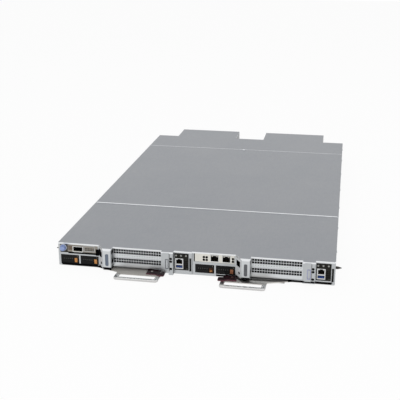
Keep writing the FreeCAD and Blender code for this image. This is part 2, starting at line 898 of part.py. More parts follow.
def make_rj45_card(left):
    edge = d.clearance
    card_top = d.card_ledge_level + d.card_sheet
    jacks = (d.jack_first, d.jack_first + d.jack_pitch)
    body, sketch = make_bracket("rj45_bracket", left)
    for x in jacks:
        add_rectangle(sketch, x - edge, card_top - edge, d.jack_width + 2 * edge, d.jack_height + 2 * edge)
    for column in range(2):
        for row in range(2):
            x = d.card_hole_across + column * d.card_hole_pitch
            add_circle(sketch, x, d.card_hole_level + row * d.card_hole_pitch, d.card_hole_radius)
    for row in range(2):
        lamp_x = d.bracket_left + d.bracket_width - d.card_lamp_inset
        add_circle(sketch, lamp_x, d.card_hole_level + row * d.card_hole_pitch, d.card_lamp_radius)
    pad(body, sketch, d.panel_sheet)
    finish(body, "rj45_bracket")
    body = make_card("rj45_card", left)
    housings = new_sketch(body, "XZ")
    sockets = new_sketch(body, "XZ")
    for x in jacks:
        add_rectangle(housings, x, card_top, d.jack_width, d.jack_height)
        mouth_x = x + (d.jack_width - d.plug_width) / 2
        add_plug_mouth(sockets, mouth_x, card_top + d.plug_bottom)
    pad(body, housings, d.jack_depth, reverse=True)
    cut_depth(body, sockets, d.plug_depth)
    finish(body, "rj45_card")


# Posts, slot covers and retainers

def make_label_posts():
    posts = []
    for side, left in NODES.items():
        tall = cover_bottom - d.grille_bottom
        name = "label_post_" + side
        body = plate(
            name, d.post_left, d.grille_bottom, d.post_width, tall, -d.block_forward, d.post_thick, left
        )
        recess = new_sketch(body, "XZ", d.block_forward + d.post_thick)
        label_x = d.post_left + (d.post_width - d.label_width) / 2
        add_rectangle(recess, label_x, d.label_bottom, d.label_width, d.label_height)
        cut_depth(body, recess, d.label_recess)
        posts.append(body)
    group("label_posts", posts)


def make_slot_covers(side, left):
    edge = d.slot_gap
    split = d.grille_top - d.slot_pitch
    levels = {
        "upper": (split + edge, d.grille_top - edge),
        "lower": (d.grille_bottom + d.wall + edge, split - edge),
    }
    for place_name, (bottom, top) in levels.items():
        name = "slot_cover_%s_%s" % (side, place_name)
        wide = grille_right - d.block_right - 2 * edge
        back = d.panel_sheet - d.grille_forward
        body = plate(name, d.block_right + edge, bottom, wide, top - bottom, back, d.panel_sheet, left)
        hole = new_sketch(body, "XZ")
        columns = ((wide - d.slot_hole) / d.slot_hole_pitch).whole() + 1
        row = (columns - 1) * d.slot_hole_pitch + d.slot_hole
        start = d.block_right + edge + (wide - row) / 2
        for line in range(2):
            level = top - d.slot_top_margin - d.slot_hole - line * d.slot_row_pitch
            add_rectangle(hole, start, level, d.slot_hole, d.slot_hole)
        if place_name == "upper":
            inset = (d.slot_hole - d.slot_dot) / 2
            add_rectangle(hole, start + inset, bottom + d.slot_dot_level, d.slot_dot, d.slot_dot)
        repeat(body, cut_through(body, hole), hole, d.slot_hole_pitch, columns)
        finish(body, name)


def make_slot_retainers():
    retainers = []
    retainer_left = grille_right + d.retainer_offset
    for side, left in NODES.items():
        tall = d.grille_top - d.grille_bottom
        body = plate(
            "slot_retainer_" + side, retainer_left, d.grille_bottom, d.retainer_width, tall,
            -d.retainer_forward, d.retainer_thick, left,
        )
        window = new_sketch(body, "XZ", d.retainer_forward + d.retainer_thick)
        x = retainer_left + d.retainer_width - d.window_width - 2 * d.window_rim
        rim = d.window_rim
        add_rectangle(window, x, d.window_bottom, d.window_width, d.window_height)
        inner_height = d.window_height - 2 * rim
        add_rectangle(window, x + rim, d.window_bottom + rim, d.window_width - 2 * rim, inner_height)
        cut_depth(body, window, d.window_recess)
        retainers.append(body)
    group("slot_retainers", retainers)


# Management block

def button_x(index):
    return io_left + d.button_offset + index * d.button_pitch


io_back = d.io_thick - d.io_proud - d.io_forward


def make_io_plate(side, left):
    edge = d.clearance
    name = "io_plate_" + side
    body = new_body(name, left)
    sketch = new_sketch(body, "XZ", -io_back)
    add_rectangle(sketch, io_left, d.io_bottom, d.io_width, d.io_height)
    shell_wide = d.shell_width + 2 * edge
    add_rectangle(sketch, shell_left - edge, d.shell_bottom - edge, shell_wide, d.shell_height + 2 * edge)
    for index in range(3):
        add_circle(sketch, button_x(index), d.button_level, d.button_radius + d.running_fit)
    pad(body, sketch, d.io_thick)
    vent = new_sketch(body, "XZ")
    add_rectangle(vent, io_left + d.io_vent_offset, d.io_vent_bottom, d.io_vent_size, d.io_vent_size)
    holes = cut_through(body, vent)
    repeat(body, holes, vent, d.io_vent_pitch, d.io_vent_columns, d.io_vent_pitch, d.io_vent_rows)
    finish(body, name)


def make_jack_stack(side, left):
    name = "jack_stack_" + side
    front = d.io_forward + d.io_proud + d.shell_proud
    body = new_body(name, left, front_y - front)
    shell = new_sketch(body, "XZ")
    add_rectangle(shell, shell_left, d.shell_bottom, d.shell_width, d.shell_height)
    pad(body, shell, d.shell_depth, reverse=True)
    ether = new_sketch(body, "XZ")
    ether_x = shell_left + (d.shell_width - d.plug_width) / 2
    add_plug_mouth(ether, ether_x, d.shell_bottom + d.ether_bottom)
    cut_depth(body, ether, d.plug_depth)
    usb = new_sketch(body, "XZ")
    usb_x = shell_left + (d.shell_width - d.usb_width) / 2
    add_rectangle(usb, usb_x, d.shell_bottom + d.usb_bottom, d.usb_width, d.usb_height)
    cut_depth(body, usb, d.usb_depth)
    finish(body, name)


def make_power_button(side, left):
    name = "power_button_" + side
    body = new_body(name, left + button_x(0), front_y + io_back + d.running_fit, d.button_level)
    flange = add_circle(new_sketch(body, "XZ"), 0, 0, d.button_flange)
    pad(body, flange, d.button_flange_thick, reverse=True)
    cap = add_circle(new_sketch(body, "XZ"), 0, 0, d.button_radius)
    pad(body, cap, d.io_thick + d.button_proud)
    finish(body, name)


def make_status_lamps():
    lenses = []
    for side, left in NODES.items():
        for index in (1, 2):
            body = new_body("lens", left + button_x(index), front_y + io_back, d.button_level)
            lens = add_circle(new_sketch(body, "XZ"), 0, 0, d.button_radius)
            pad(body, lens, d.io_thick + d.lens_proud)
            lenses.append(body)
    group("status_lamps", lenses)


# Ejector levers

def make_lever(side, sign):
    """A flat lever pivoted at the outer corner, with a closed grip loop in front of the panel."""
    name = "ejector_lever_" + side
    body = new_body(name, 0, front_y, d.lever_bottom)
    x = pivot_across
    y = d.pivot_back
    arm = new_sketch(body, "XY")
    corners = [
        (d.grip_inner + d.grip_bar, d.catch_back - d.catch_forward),
        (d.catch_outer, d.arm_front - d.catch_back),
        (d.grip_outer, d.arm_front),
        (x - d.boss_radius / 2, d.arm_back - d.catch_back),
        (x - d.boss_radius / 2, d.arm_front),
        (x - d.shoulder_reach, -d.shoulder_forward),
        (d.grip_outer, -d.grip_back + d.grip_bar),
        (d.grip_outer, -d.grip_back),
        (d.grip_inner, -d.grip_back),
        (d.grip_inner, -d.catch_front),
    ]
    add_polygon(arm, [(sign * px, as_size(py)) for px, py in corners])
    pad(body, arm, d.lever_sheet)
    pad(body, add_circle(new_sketch(body, "XY"), sign * x, y, d.boss_radius), d.lever_sheet)
    heel = new_sketch(body, "XY")
    heel_corners = [
        (x - d.heel_width / 2, y),
        (x - d.heel_tip / 2, y - d.heel_length),
        (x + d.heel_tip / 2, y - d.heel_length),
        (x + d.heel_width / 2, y),
    ]
    add_polygon(heel, [(sign * px, py) for px, py in heel_corners])
    pad(body, heel, d.lever_sheet)
    for back, thick in ((d.grip_back, d.grip_thick), (d.rim_back, d.rim_thick)):
        grip = new_sketch(body, "XY", d.lever_sheet - d.grip_thick)
        loop = [
            (d.grip_inner, -d.lever_reach),
            (d.grip_outer, -d.lever_reach),
            (d.grip_outer, -back),
            (d.grip_outer - d.grip_bar, -back),
            (d.grip_outer - d.grip_bar, d.grip_bar - d.lever_reach),
            (d.grip_inner + d.grip_bar, d.grip_bar - d.lever_reach),
            (d.grip_inner + d.grip_bar, -back),
            (d.grip_inner, -back),
        ]
        add_polygon(grip, [(sign * px, py) for px, py in loop])
        pad(body, grip, thick)
    pivot_hole = new_sketch(body, "XY")
    add_circle(pivot_hole, sign * x, y, d.pivot_radius + d.running_fit)
    cut_through(body, pivot_hole)
    stud = new_sketch(body, "XY", d.lever_sheet)
    add_circle(stud, sign * d.catch_across, -d.catch_forward, d.catch_pin_radius)
    pad(body, stud, d.catch_thick)
    front_line = -d.lever_reach.value + 1e-3
    round_edges(body, d.grip_round, lambda edge: is_upright(edge) and edge.BoundBox.YMax < front_line)
    return finish(body, name)


def make_release_latch(side, sign):
    """The thumb latch on the lever's stud, with a rounded tip past the loop's inner end."""
    name = "release_latch_" + side
    body = new_body(name, 0, front_y, lever_top + d.running_fit)
    blade = new_sketch(body, "XY")
    tip = d.catch_inner + d.catch_tip_width
    corners = [
        (d.catch_outer, -d.catch_back),
        (tip + d.catch_back, -d.catch_back),
        (tip, -d.catch_forward - d.catch_back),
        (d.catch_inner, -d.catch_front + d.catch_tip_width),
        (d.catch_inner, -d.catch_tip_front),
        (tip, -d.catch_tip_front),
        (tip + d.catch_tip_width, -d.catch_front),
        (d.catch_outer, -d.catch_front),
    ]
    add_polygon(blade, [(sign * px, as_size(py)) for px, py in corners])
    add_circle(blade, sign * d.catch_across, -d.catch_forward, d.catch_pin_radius + d.running_fit)
    pad(body, blade, d.catch_thick)
    front_line = -d.catch_tip_front.value + 1e-3
    round_edges(body, d.catch_round, lambda edge: is_upright(edge) and edge.BoundBox.YMax < front_line)
    finish(body, name)


def make_lever_pivots():
    rivets = []
    for side, sign in SIDES.items():
        under_lever = d.lever_bottom - d.running_fit * 2
        body = new_body("pivot", sign * pivot_across, front_y + d.pivot_back, under_lever)
        head = add_circle(new_sketch(body, "XY"), 0, 0, d.pivot_head_radius)
        pad(body, head, d.pivot_head, reverse=True)
        shank = add_circle(new_sketch(body, "XY"), 0, 0, d.pivot_radius)
        pad(body, shank, d.raised_floor - under_lever)
        rivets.append(body)
    group("lever_pivots", rivets)


def make_guide_pins():
    pins = []
    for side, sign in SIDES.items():
        body = new_body("pin", sign * (d.width / 2), front_y + d.guide_back, d.guide_level)
        profile = new_sketch(body, "XZ")
        inside = d.wall
        radius = d.guide_radius
        corners = [
            (-inside - d.guide_head_thick, as_size(0)),
            (-inside - d.guide_head_thick, d.guide_head),
            (-inside, d.guide_head),
            (-inside, d.guide_collar),
            (as_size(0), d.guide_collar),
            (as_size(0), radius),
            (d.guide_reach - d.guide_cone, radius),
            (d.guide_reach, d.guide_tip),
            (d.guide_reach, as_size(0)),
        ]
        add_polygon(profile, [(sign * px, pz) for px, pz in corners])
        turned = body.newObject("PartDesign::Revolution", "turned")
        turned.Profile = profile
        turned.ReferenceAxis = (profile, ["H_Axis"])
        turned.Angle = 360
        pins.append(body)
    group("guide_pins", pins)


# Rear power connector

def make_busbar_connector():
    body = new_body("busbar_connector", 0, front_y + d.body_depth, d.busbar_level)
    flange = new_sketch(body, "XY")
    add_rectangle(flange, -d.busbar_flange / 2, 0, d.busbar_flange, d.busbar_flange_thick)
    pad(body, flange, d.busbar_height)
    jaws = new_sketch(body, "XY")
    half = d.busbar_width / 2
    slot = d.busbar_slot / 2
    root = d.busbar_depth - d.busbar_slot_depth
    lead_in = d.busbar_lead
    right = [
        (slot, root),
        (slot, d.busbar_depth - lead_in),
        (slot + lead_in, d.busbar_depth),
        (half - lead_in, d.busbar_depth),
        (half, d.busbar_depth - 2 * lead_in),
        (half, as_size(0)),
    ]
    add_polygon(jaws, right + [(-x, y) for x, y in reversed(right)])
    pad(body, jaws, d.busbar_height)
    finish(body, "busbar_connector")


# Boards, heatsinks and memory

board_width = node_pitch - d.board_left - d.board_margin
board_top = d.board_level + d.board_sheet
sink_left = d.board_left + (board_width - d.sink_width) / 2


def add_hexagon(sketch, x, y, radius):
    flat = radius * (math.sqrt(3) / 2)
    half = radius / 2
    right = [(x + half, y - flat), (x + radius, y), (x + half, y + flat)]
    return add_polygon(sketch, right + [(x - half, y + flat), (x - radius, y), (x - half, y - flat)])


def make_mainboards():
    boards = []
    for side, left in NODES.items():
        body = new_body("mainboard_" + side, left)
        board = new_sketch(body, "XY", d.board_level)
        add_rectangle(board, d.board_left, d.board_front, board_width, d.board_depth)
        pad(body, board, d.board_sheet)
        standoff = new_sketch(body, "XY", d.wall)
        inset = d.standoff_inset
        for x in (d.board_left + inset, d.board_left + board_width - inset):
            for y in (d.board_front + inset, d.board_front + d.board_depth - inset):
                add_hexagon(standoff, x, y, d.standoff_radius)
        pad(body, standoff, d.board_level - d.wall)
        boards.append(body)
    group("mainboards", boards)


def make_heatsinks():
    sinks = []
    for side, left in NODES.items():
        body = new_body("heatsink_" + side, left, front_y + d.sink_front, board_top)
        base = new_sketch(body, "XY")
        add_rectangle(base, sink_left, 0, d.sink_width, d.sink_depth)
        pad(body, base, d.sink_base)
        fin = new_sketch(body, "XZ")
        row = (d.fin_count - 1) * d.fin_pitch + d.fin_sheet
        start = sink_left + (d.sink_width - row) / 2
        add_rectangle(fin, start, d.sink_base, d.fin_sheet, d.sink_height - d.sink_base)
        fins = pad(body, fin, d.sink_depth, reverse=True)
        repeat(body, fins, fin, d.fin_pitch, d.fin_count)
        sinks.append(body)
    group("heatsinks", sinks)


def make_memory():
    modules = []
    bank_width = (d.dimm_count - 1) * d.dimm_pitch + d.dimm_socket
    for side, left in NODES.items():
        for bank in (sink_left - d.dimm_gap - bank_width, sink_left + d.sink_width + d.dimm_gap):
            for index in range(int(d.dimm_count.value)):
                name = "memory_module"
                x = left + bank + index * d.dimm_pitch
                body = new_body(name, x, front_y + d.dimm_front, board_top)
                socket = new_sketch(body, "XY")
                add_rectangle(socket, 0, 0, d.dimm_socket, d.dimm_length)
                pad(body, socket, d.dimm_socket_height)
                stick = new_sketch(body, "XY")
                inset = (d.dimm_socket - d.dimm_board) / 2
                add_rectangle(stick, inset, d.dimm_socket, d.dimm_board, d.dimm_length - 2 * d.dimm_socket)
                pad(body, stick, d.dimm_height)
                modules.append(body)
    group("memory_modules", modules)


# Fans and rear grilles

fan_back = d.body_depth + d.tab_depth - d.wall - d.grille_sheet
fan_level = d.wall + d.fan_size / 2
tab_width = d.tab_outer - d.tab_inner - 2 * d.wall


def fan_centres():
    """Across positions of the fans, left to right, evenly spaced in each tab."""
    step = tab_width / d.fan_count
    starts = (-d.tab_outer + d.wall, d.tab_inner + d.wall)
    return [start + step * (index + 0.5) for start in starts for index in range(int(d.fan_count.value))]


def make_rear_grilles():
    grilles = []
    for x in (-d.tab_outer + d.wall, d.tab_inner + d.wall):
        edge = d.clearance
        tall = cover_bottom - d.wall - edge
        back = fan_back + d.grille_sheet
        body = plate("rear_grille", x + edge, d.wall, tab_width - 2 * edge, tall, back, d.grille_sheet)
        slot = new_sketch(body, "XZ", -fan_back)
        row = (d.rear_slot_count - 1) * d.rear_slot_pitch + d.rear_slot
        add_rectangle(slot, x + (tab_width - row) / 2, d.rear_slot_bottom, d.rear_slot, d.rear_slot_height)
        repeat(body, cut_through(body, slot), slot, d.rear_slot_pitch, d.rear_slot_count)
        grilles.append(body)
    group("rear_grilles", grilles)


def make_fan_frames():
    frames = []
    for x in fan_centres():
        body = new_body("fan_frame", x, front_y + fan_back, fan_level)
        square = new_sketch(body, "XZ")
        add_rectangle(square, -d.fan_size / 2, -d.fan_size / 2, d.fan_size, d.fan_size)
        add_circle(square, 0, 0, d.fan_bore)
        pad(body, square, d.fan_depth)
        across = new_sketch(body, "XZ")
        add_rectangle(across, -d.fan_size / 2, -d.fan_strut / 2, d.fan_size, d.fan_strut)
        pad(body, across, d.fan_mount_thick)
        upright = new_sketch(body, "XZ")
        add_rectangle(upright, -d.fan_strut / 2, -d.fan_size / 2, d.fan_strut, d.fan_size)
        pad(body, upright, d.fan_mount_thick)
        pad(body, add_circle(new_sketch(body, "XZ"), 0, 0, d.fan_mount_radius), d.fan_mount_thick)
        shaft = add_circle(new_sketch(body, "XZ"), 0, 0, d.fan_shaft)
        pad(body, shaft, d.fan_mount_thick + d.fan_shaft_length)
        frames.append(body)
    group("fan_frames", frames)


def make_fan_rotor(number, x):
    """An impeller: a hub on the motor's shaft with a ring of pitched, cambered blades."""
    name = "fan_rotor_%d" % number
    back = fan_back - d.fan_mount_thick - d.clearance
    body = new_body(name, x, front_y + back, fan_level)
    pad(body, add_circle(new_sketch(body, "XZ"), 0, 0, d.hub_radius), d.hub_length)
    bore = new_sketch(body, "XZ")
    add_circle(bore, 0, 0, d.fan_shaft + d.running_fit)
    cut_depth(body, bore, d.fan_shaft_length, reverse=True)
    root = d.hub_radius - d.blade_thick
    section = new_sketch(body, "YZ", root)
    chord = d.blade_chord
    front = -(d.hub_length + chord) / 2
    rise = chord * d.blade_pitch
    sag = chord * d.blade_camber
    lower = [
        (front, -rise / 2),
        (front + chord / 3, -rise / 6 - sag),
        (front + chord * 2 / 3, rise / 6 - sag),
        (front + chord, rise / 2),
    ]
    add_polygon(section, lower + [(y, z + d.blade_thick) for y, z in reversed(lower)])
    blade = pad(body, section, d.blade_tip - root)
    ring = body.newObject("PartDesign::PolarPattern", "blades")
    ring.Originals = [blade]
    ring.Axis = (next(item for item in body.Origin.OriginFeatures if item.Role == "Y_Axis"), [""])
    ring.Angle = 360
    bind(ring, "Occurrences", d.blade_count)
    body.Tip = ring
    finish(body, name)


make_chassis()
make_front_floor()
make_covers()
make_cover_screw()
drive_number = 1
for side, left in NODES.items():
    make_front_panel(side, left)
    make_drive_cage(side, left)
    for bay in range(2):
        make_drive_carrier(drive_number, left, bay)
        make_drive_latch(drive_number, left, bay)
        make_drive_module(drive_number, left, bay)
        drive_number += 1
    make_slot_covers(side, left)
    make_io_plate(side, left)
    make_jack_stack(side, left)
    make_power_button(side, left)
make_qsfp_card(NODES["left"])
make_thumbscrew(NODES["left"])
make_rj45_card(NODES["right"])
make_label_posts()
make_slot_retainers()
make_status_lamps()
for side, sign in SIDES.items():
    make_lever(side, sign)
    make_release_latch(side, sign)
make_lever_pivots()
make_guide_pins()
make_busbar_connector()
make_mainboards()
make_heatsinks()
make_memory()
make_rear_grilles()
make_fan_frames()
for number, x in enumerate(fan_centres(), start=1):
    make_fan_rotor(number, x)
doc.recompute()

failed = [item.Label for item in doc.Objects if "Invalid" in item.State or "Error" in item.State]
failed += [item.Label for item in finished if item.Shape.isNull() or not item.Shape.isValid()]
if failed:
    raise RuntimeError("failed objects: " + ", ".join(failed))
os.makedirs("parts", exist_ok=True)
for item in finished:
    item.Shape.exportStep("parts/%s.step" % item.Label)
print(len(finished), "sub-parts written")
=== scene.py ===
import math

import bmesh
import bpy
from mathutils import Matrix, Vector


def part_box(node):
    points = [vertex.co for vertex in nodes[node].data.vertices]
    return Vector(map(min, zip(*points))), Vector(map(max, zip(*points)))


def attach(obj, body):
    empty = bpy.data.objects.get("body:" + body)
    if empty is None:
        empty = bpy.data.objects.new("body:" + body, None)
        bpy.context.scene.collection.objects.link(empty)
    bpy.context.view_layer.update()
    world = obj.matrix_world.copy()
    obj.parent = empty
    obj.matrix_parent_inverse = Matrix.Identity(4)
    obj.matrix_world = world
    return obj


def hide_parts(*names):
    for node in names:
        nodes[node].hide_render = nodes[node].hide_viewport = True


# A two-node server sled seen from above its front. Lengths below are millimetres in the frame of
# the model: +X right, +Y to the rear, +Z up, and MM turns them to metres.

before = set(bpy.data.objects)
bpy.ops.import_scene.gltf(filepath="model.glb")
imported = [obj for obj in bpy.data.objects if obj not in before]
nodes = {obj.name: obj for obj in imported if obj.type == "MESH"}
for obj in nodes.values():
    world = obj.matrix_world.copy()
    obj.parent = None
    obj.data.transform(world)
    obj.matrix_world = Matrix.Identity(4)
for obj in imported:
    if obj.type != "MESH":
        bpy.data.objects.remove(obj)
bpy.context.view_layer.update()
MM = 0.001

# The left edges of the two nodes, from which places on both are given
LEFT_NODE = -268.5
RIGHT_NODE = 0.0
BOTH_NODES = {"left": LEFT_NODE, "right": RIGHT_NODE}
SIDES = {"left": -1, "right": 1}

# The front's planes: drives and cards, jack stacks, the step under the retainers and that under the posts
FRONT = -451.0
STACK_FRONT = FRONT - 2.9
RETAINER_STEP = FRONT - 11
POST_STEP = FRONT - 16

# The upper face of the cover
COVER_TOP = 47.0

# The slanted wall beside the drives: its turn about the upright axis
WALL_SLANT = math.atan2(-16, 11.5)

# The levers' grip loops lie in front of this plane, and their ends beyond these distances across are painted
# black as painted shade
LOOP_ROOT = -480
SHADE_STARTS = {"left": 158, "right": 182}

SMOOTH_ANGLE = math.radians(35)


# Materials

def linear(code):
    """An sRGB hex colour as linear red, green, blue and alpha."""
    levels = [int(code[i:i + 2], 16) / 255 for i in (1, 3, 5)]
    return [v / 12.92 if v <= 0.04045 else ((v + 0.055) / 1.055) ** 2.4 for v in levels] + [1]


def add_node(material, kind, inputs=None, **settings):
    """Adds a shader node; an input is a value, or a pair of a node and the name of its output."""
    tree = material.node_tree
    node = tree.nodes.new("ShaderNode" + kind)
    for name, value in settings.items():
        setattr(node, name, value)
    for name, value in (inputs or {}).items():
        if isinstance(value, tuple) and isinstance(value[0], bpy.types.Node):
            tree.links.new(value[0].outputs[value[1]], node.inputs[name])
        else:
            node.inputs[name].default_value = value
    return node


def blend(material, share, under, over):
    """Mixes two colours: a share of 0 gives the first, and 1 the second."""
    return add_node(material, "Mix", {"Factor": share, "A": under, "B": over}, data_type="RGBA")


def new_material(name, colour, metallic, roughness, **sockets):
    """A named material, its shader and its object coordinates."""
    material = bpy.data.materials.new(name)
    material.use_nodes = True
    shader = material.node_tree.nodes["Principled BSDF"]
    shader.inputs["Base Color"].default_value = linear(colour)
    shader.inputs["Metallic"].default_value = metallic
    shader.inputs["Roughness"].default_value = roughness
    for socket, value in sockets.items():
        shader.inputs[socket.replace("_", " ")].default_value = value
    return material, shader, add_node(material, "TexCoord")


def connect(material, shader, colours, shine, relief):
    """Wires the nodes of colour, roughness and bump to a material's shader."""
    links = material.node_tree.links
    links.new(colours.outputs["Result"], shader.inputs["Base Color"])
    links.new(shine.outputs["Result"], shader.inputs["Roughness"])
    links.new(relief.outputs["Normal"], shader.inputs["Normal"])
    return material


def sheet_metal(name, face, patch, edge, rough, grain, spangle=6.0):
    """Zinc-coated steel sheet: soft crystal patches a few millimetres wide on its level faces, rolling lines
    along one way, and the edge colour on every upright face. The edge colour is partly the bare metal of
    sheared edges and partly painted light: a painted highlight, lighter than the level faces, on the cover
    and chassis, and painted shade, darker, on most front sheets."""
    material, shader, place = new_material(name, face, 1.0, rough)
    crystals = add_node(material, "TexVoronoi", {"Vector": (place, "Object"), "Scale": 1000 / spangle})
    stretched = add_node(material, "Mapping", {"Vector": (place, "Object"), "Scale": grain})
    rolling = add_node(material, "TexNoise", {"Vector": (stretched, "Vector"), "Scale": 700, "Detail": 4})
    cloud = add_node(material, "TexNoise", {"Vector": (place, "Object"), "Scale": 9, "Detail": 3})
    share = add_node(material, "Math", {0: (crystals, "Color"), 1: 0.35}, operation="MULTIPLY")
    mottle = add_node(material, "Math", {0: (cloud, "Fac"), 1: (share, "Value")}, operation="ADD")
    tone = add_node(material, "MapRange", {"Value": (mottle, "Value"), 1: 0.35, 2: 1.0})
    colours = blend(material, (tone, "Result"), linear(face), linear(patch))
    surface = add_node(material, "NewGeometry")
    upward = add_node(material, "SeparateXYZ", {0: (surface, "Normal")})
    level = add_node(material, "Math", {0: (upward, "Z")}, operation="ABSOLUTE")
    # Painted light: every upright face takes the edge colour, lighter or darker than the level faces
    upright_painted_light = add_node(material, "MapRange", {"Value": (level, "Value"), 1: 0.95, 2: 0.75})
    trimmed = blend(material, (upright_painted_light, "Result"), (colours, "Result"), linear(edge))
    shine = add_node(material, "MapRange", {"Value": (rolling, "Fac"), 3: rough - 0.06, 4: rough + 0.08})
    dents = add_node(material, "Bump", {"Height": (rolling, "Fac"), "Strength": 0.04, "Distance": 0.0002})
    return connect(material, shader, trimmed, shine, dents)


def brushed_metal(name, face, streak, rough, along, spacing=0.6, metallic=1.0):
    """Metal with fine parallel lines; they are drawn wider than the real ones so that they show."""
    material, shader, place = new_material(name, face, metallic, rough)
    thin = [1000 / spacing] * 3
    thin["XYZ".index(along)] = 1000 / spacing / 40
    stretched = add_node(material, "Mapping", {"Vector": (place, "Object"), "Scale": thin})
    lines = add_node(material, "TexNoise", {"Vector": (stretched, "Vector"), "Scale": 1, "Detail": 3})
    colours = blend(material, (lines, "Fac"), linear(face), linear(streak))
    shine = add_node(material, "MapRange", {"Value": (lines, "Fac"), 3: rough - 0.05, 4: rough + 0.1})
    scratches = add_node(material, "Bump", {"Height": (lines, "Fac"), "Strength": 0.08, "Distance": 0.0001})
    return connect(material, shader, colours, shine, scratches)


def overlay(material, share, colour, metallic=True):
    """Where a node gives 1, lays another colour over a material's own."""
    tree = material.node_tree
    shader = tree.nodes["Principled BSDF"]
    under = shader.inputs["Base Color"].links[0].from_node
    colours = blend(material, share, (under, "Result"), linear(colour))
    tree.links.new(colours.outputs["Result"], shader.inputs["Base Color"])
    if not metallic:
        metal = add_node(material, "Math", {0: 1.0, 1: share}, operation="SUBTRACT")
        tree.links.new(metal.outputs["Value"], shader.inputs["Metallic"])
    return material


def facing(material, axis, edge, full):
    """0 where the normal's part along an axis is at one value, and 1 where it is at another."""
    surface = add_node(material, "NewGeometry")
    parts = add_node(material, "SeparateXYZ", {0: (surface, "Normal")})
    share = add_node(material, "MapRange", {"Value": (parts, axis), 1: edge, 2: full})
    return share, "Result"


# Rolling lines along the sled or across it, and the smaller crystals of the front's sheets
LENGTHWISE = (1, 0.05, 1)
CROSSWISE = (0.05, 1, 1)
FINE = 4.0


def punched_plate(name, face, patch, edge, rough):
    """Zinc-coated sheet with punched holes: its face is bright, and every face that doesn't look to the
    front, the walls of the holes among them, is painted black as painted shade.
    """
    material = sheet_metal(name, face, patch, edge, rough, CROSSWISE, FINE)
    return overlay(material, facing(material, "Y", -0.6, -0.4), "#0E0E0E", metallic=False)


def rolled_metal(name, crown, flank_painted_shade, rough):
    """Polished steel rolled to a bar: its crown mirrors the light above, and its flanks are painted greyer as
    painted shade.
    """
    material = brushed_metal(name, crown, crown, rough, "X")
    return overlay(material, facing(material, "Z", 0.9, 0.3), flank_painted_shade)


def top_shadowed_plastic(name, side, top):
    """Moulded plastic in two colours: its top faces are painted darker than its body, as a painted shadow."""
    material = moulded_plastic(name, side, side, 0.42, gloss=0.25)
    return overlay(material, facing(material, "Z", 0.3, 0.8), top)


def plated_shell(name, face, streak, front):
    """A nickel-plated shell over a black insulator, which starts half a millimetre behind its front edge:
    the rim of each opening is bright and its inside is dark."""
    material = brushed_metal(name, face, streak, 0.22, "X", 0.4)
    place = add_node(material, "TexCoord")
    depth = add_node(material, "SeparateXYZ", {0: (place, "Object")})
    inside = add_node(material, "Math", {0: (depth, "Y"), 1: (front + 0.5) * MM}, operation="GREATER_THAN")
    return overlay(material, (inside, "Value"), "#0B0B0C", metallic=False)


def moulded_plastic(name, face, worn, rough, grain=0.5, ior=1.5, gloss=0.5):
    """Injection-moulded plastic: an even colour with a fine eroded grain and slightly rubbed patches."""
    material, shader, place = new_material(name, face, 0.0, rough, IOR=ior, Specular_IOR_Level=gloss)
    grains = add_node(material, "TexNoise", {"Vector": (place, "Object"), "Scale": 1000 / grain, "Detail": 2})
    rubbed = add_node(material, "TexNoise", {"Vector": (place, "Object"), "Scale": 120, "Detail": 3})
    share = add_node(material, "MapRange", {"Value": (rubbed, "Fac"), 1: 0.4, 2: 0.75})
    colours = blend(material, (share, "Result"), linear(face), linear(worn))
    shine = add_node(material, "MapRange", {"Value": (grains, "Fac"), 3: rough - 0.05, 4: rough + 0.12})
    pits = add_node(material, "Bump", {"Height": (grains, "Fac"), "Strength": 0.12, "Distance": 0.0001})
    return connect(material, shader, colours, shine, pits)


def board_laminate():
    """Glass-fibre board under solder resist: green with faint square copper runs showing through."""
    material, shader, place = new_material("fibreglass_board_green", "#1F4A2E", 0.0, 0.35)
    runs = add_node(material, "TexBrick", {
        "Vector": (place, "Object"), "Color1": linear("#1F4A2E"), "Color2": linear("#275A38"),
        "Mortar": linear("#34704A"), "Scale": 120, "Mortar Size": 0.012,
    })
    material.node_tree.links.new(runs.outputs["Color"], shader.inputs["Base Color"])
    return material


# Painted light: the cover and chassis sheets are darker and the front's sheets brighter, though they are
# probably one steel
COVER_STEEL = sheet_metal("galvanised_cover_steel", "#92959A", "#989A9E", "#DDE0E3", 0.42, LENGTHWISE)
CHASSIS_STEEL = sheet_metal("galvanised_chassis_steel", "#9C9EA1", "#A6A8AA", "#B9BBBE", 0.40, LENGTHWISE)
FRONT_STEEL = sheet_metal("front_zinc_steel_lit_copy", "#D0D3D5", "#C6C9CB", "#BCBFC1", 0.34, CROSSWISE, FINE)
# Painted shade: walls that face right are painted darker. On the front, walls that face left are matt, so
# they mirror no drive
overlay(CHASSIS_STEEL, facing(CHASSIS_STEEL, "X", 0.4, 0.9), "#8B8D90")
overlay(FRONT_STEEL, facing(FRONT_STEEL, "X", 0.4, 0.9), "#77797B")
overlay(FRONT_STEEL, facing(FRONT_STEEL, "X", -0.5, -0.75), "#D6D8DA", metallic=False)
POST_STEEL = sheet_metal("post_zinc_steel_lit_copy", "#D3D6D8", "#C9CCCE", "#CED1D3", 0.34, CROSSWISE, FINE)
SLOT_STEEL = punched_plate("punched_zinc_steel", "#D0D3D5", "#C6C9CB", "#D5D8DA", 0.34)
WARM_STEEL = sheet_metal("satin_nickel_card_plate", "#A09B93", "#958F88", "#928D85", 0.36, CROSSWISE, FINE)
CREAM_STEEL = sheet_metal("clear_chromate_card_plate", "#E9E7E0", "#E0DED6", "#DEDCD4", 0.36, CROSSWISE, FINE)
LEVER_STEEL = brushed_metal("brushed_lever_steel", "#D6D3CF", "#C8C5C0", 0.3, "X")
# Painted light: a lighter, mostly matt copy of the lever steel, for the left lever only
LIT_LEVER_STEEL = brushed_metal("lever_steel_lit_copy", "#BDBAB5", "#ABA8A3", 0.5, "X", metallic=0.3)
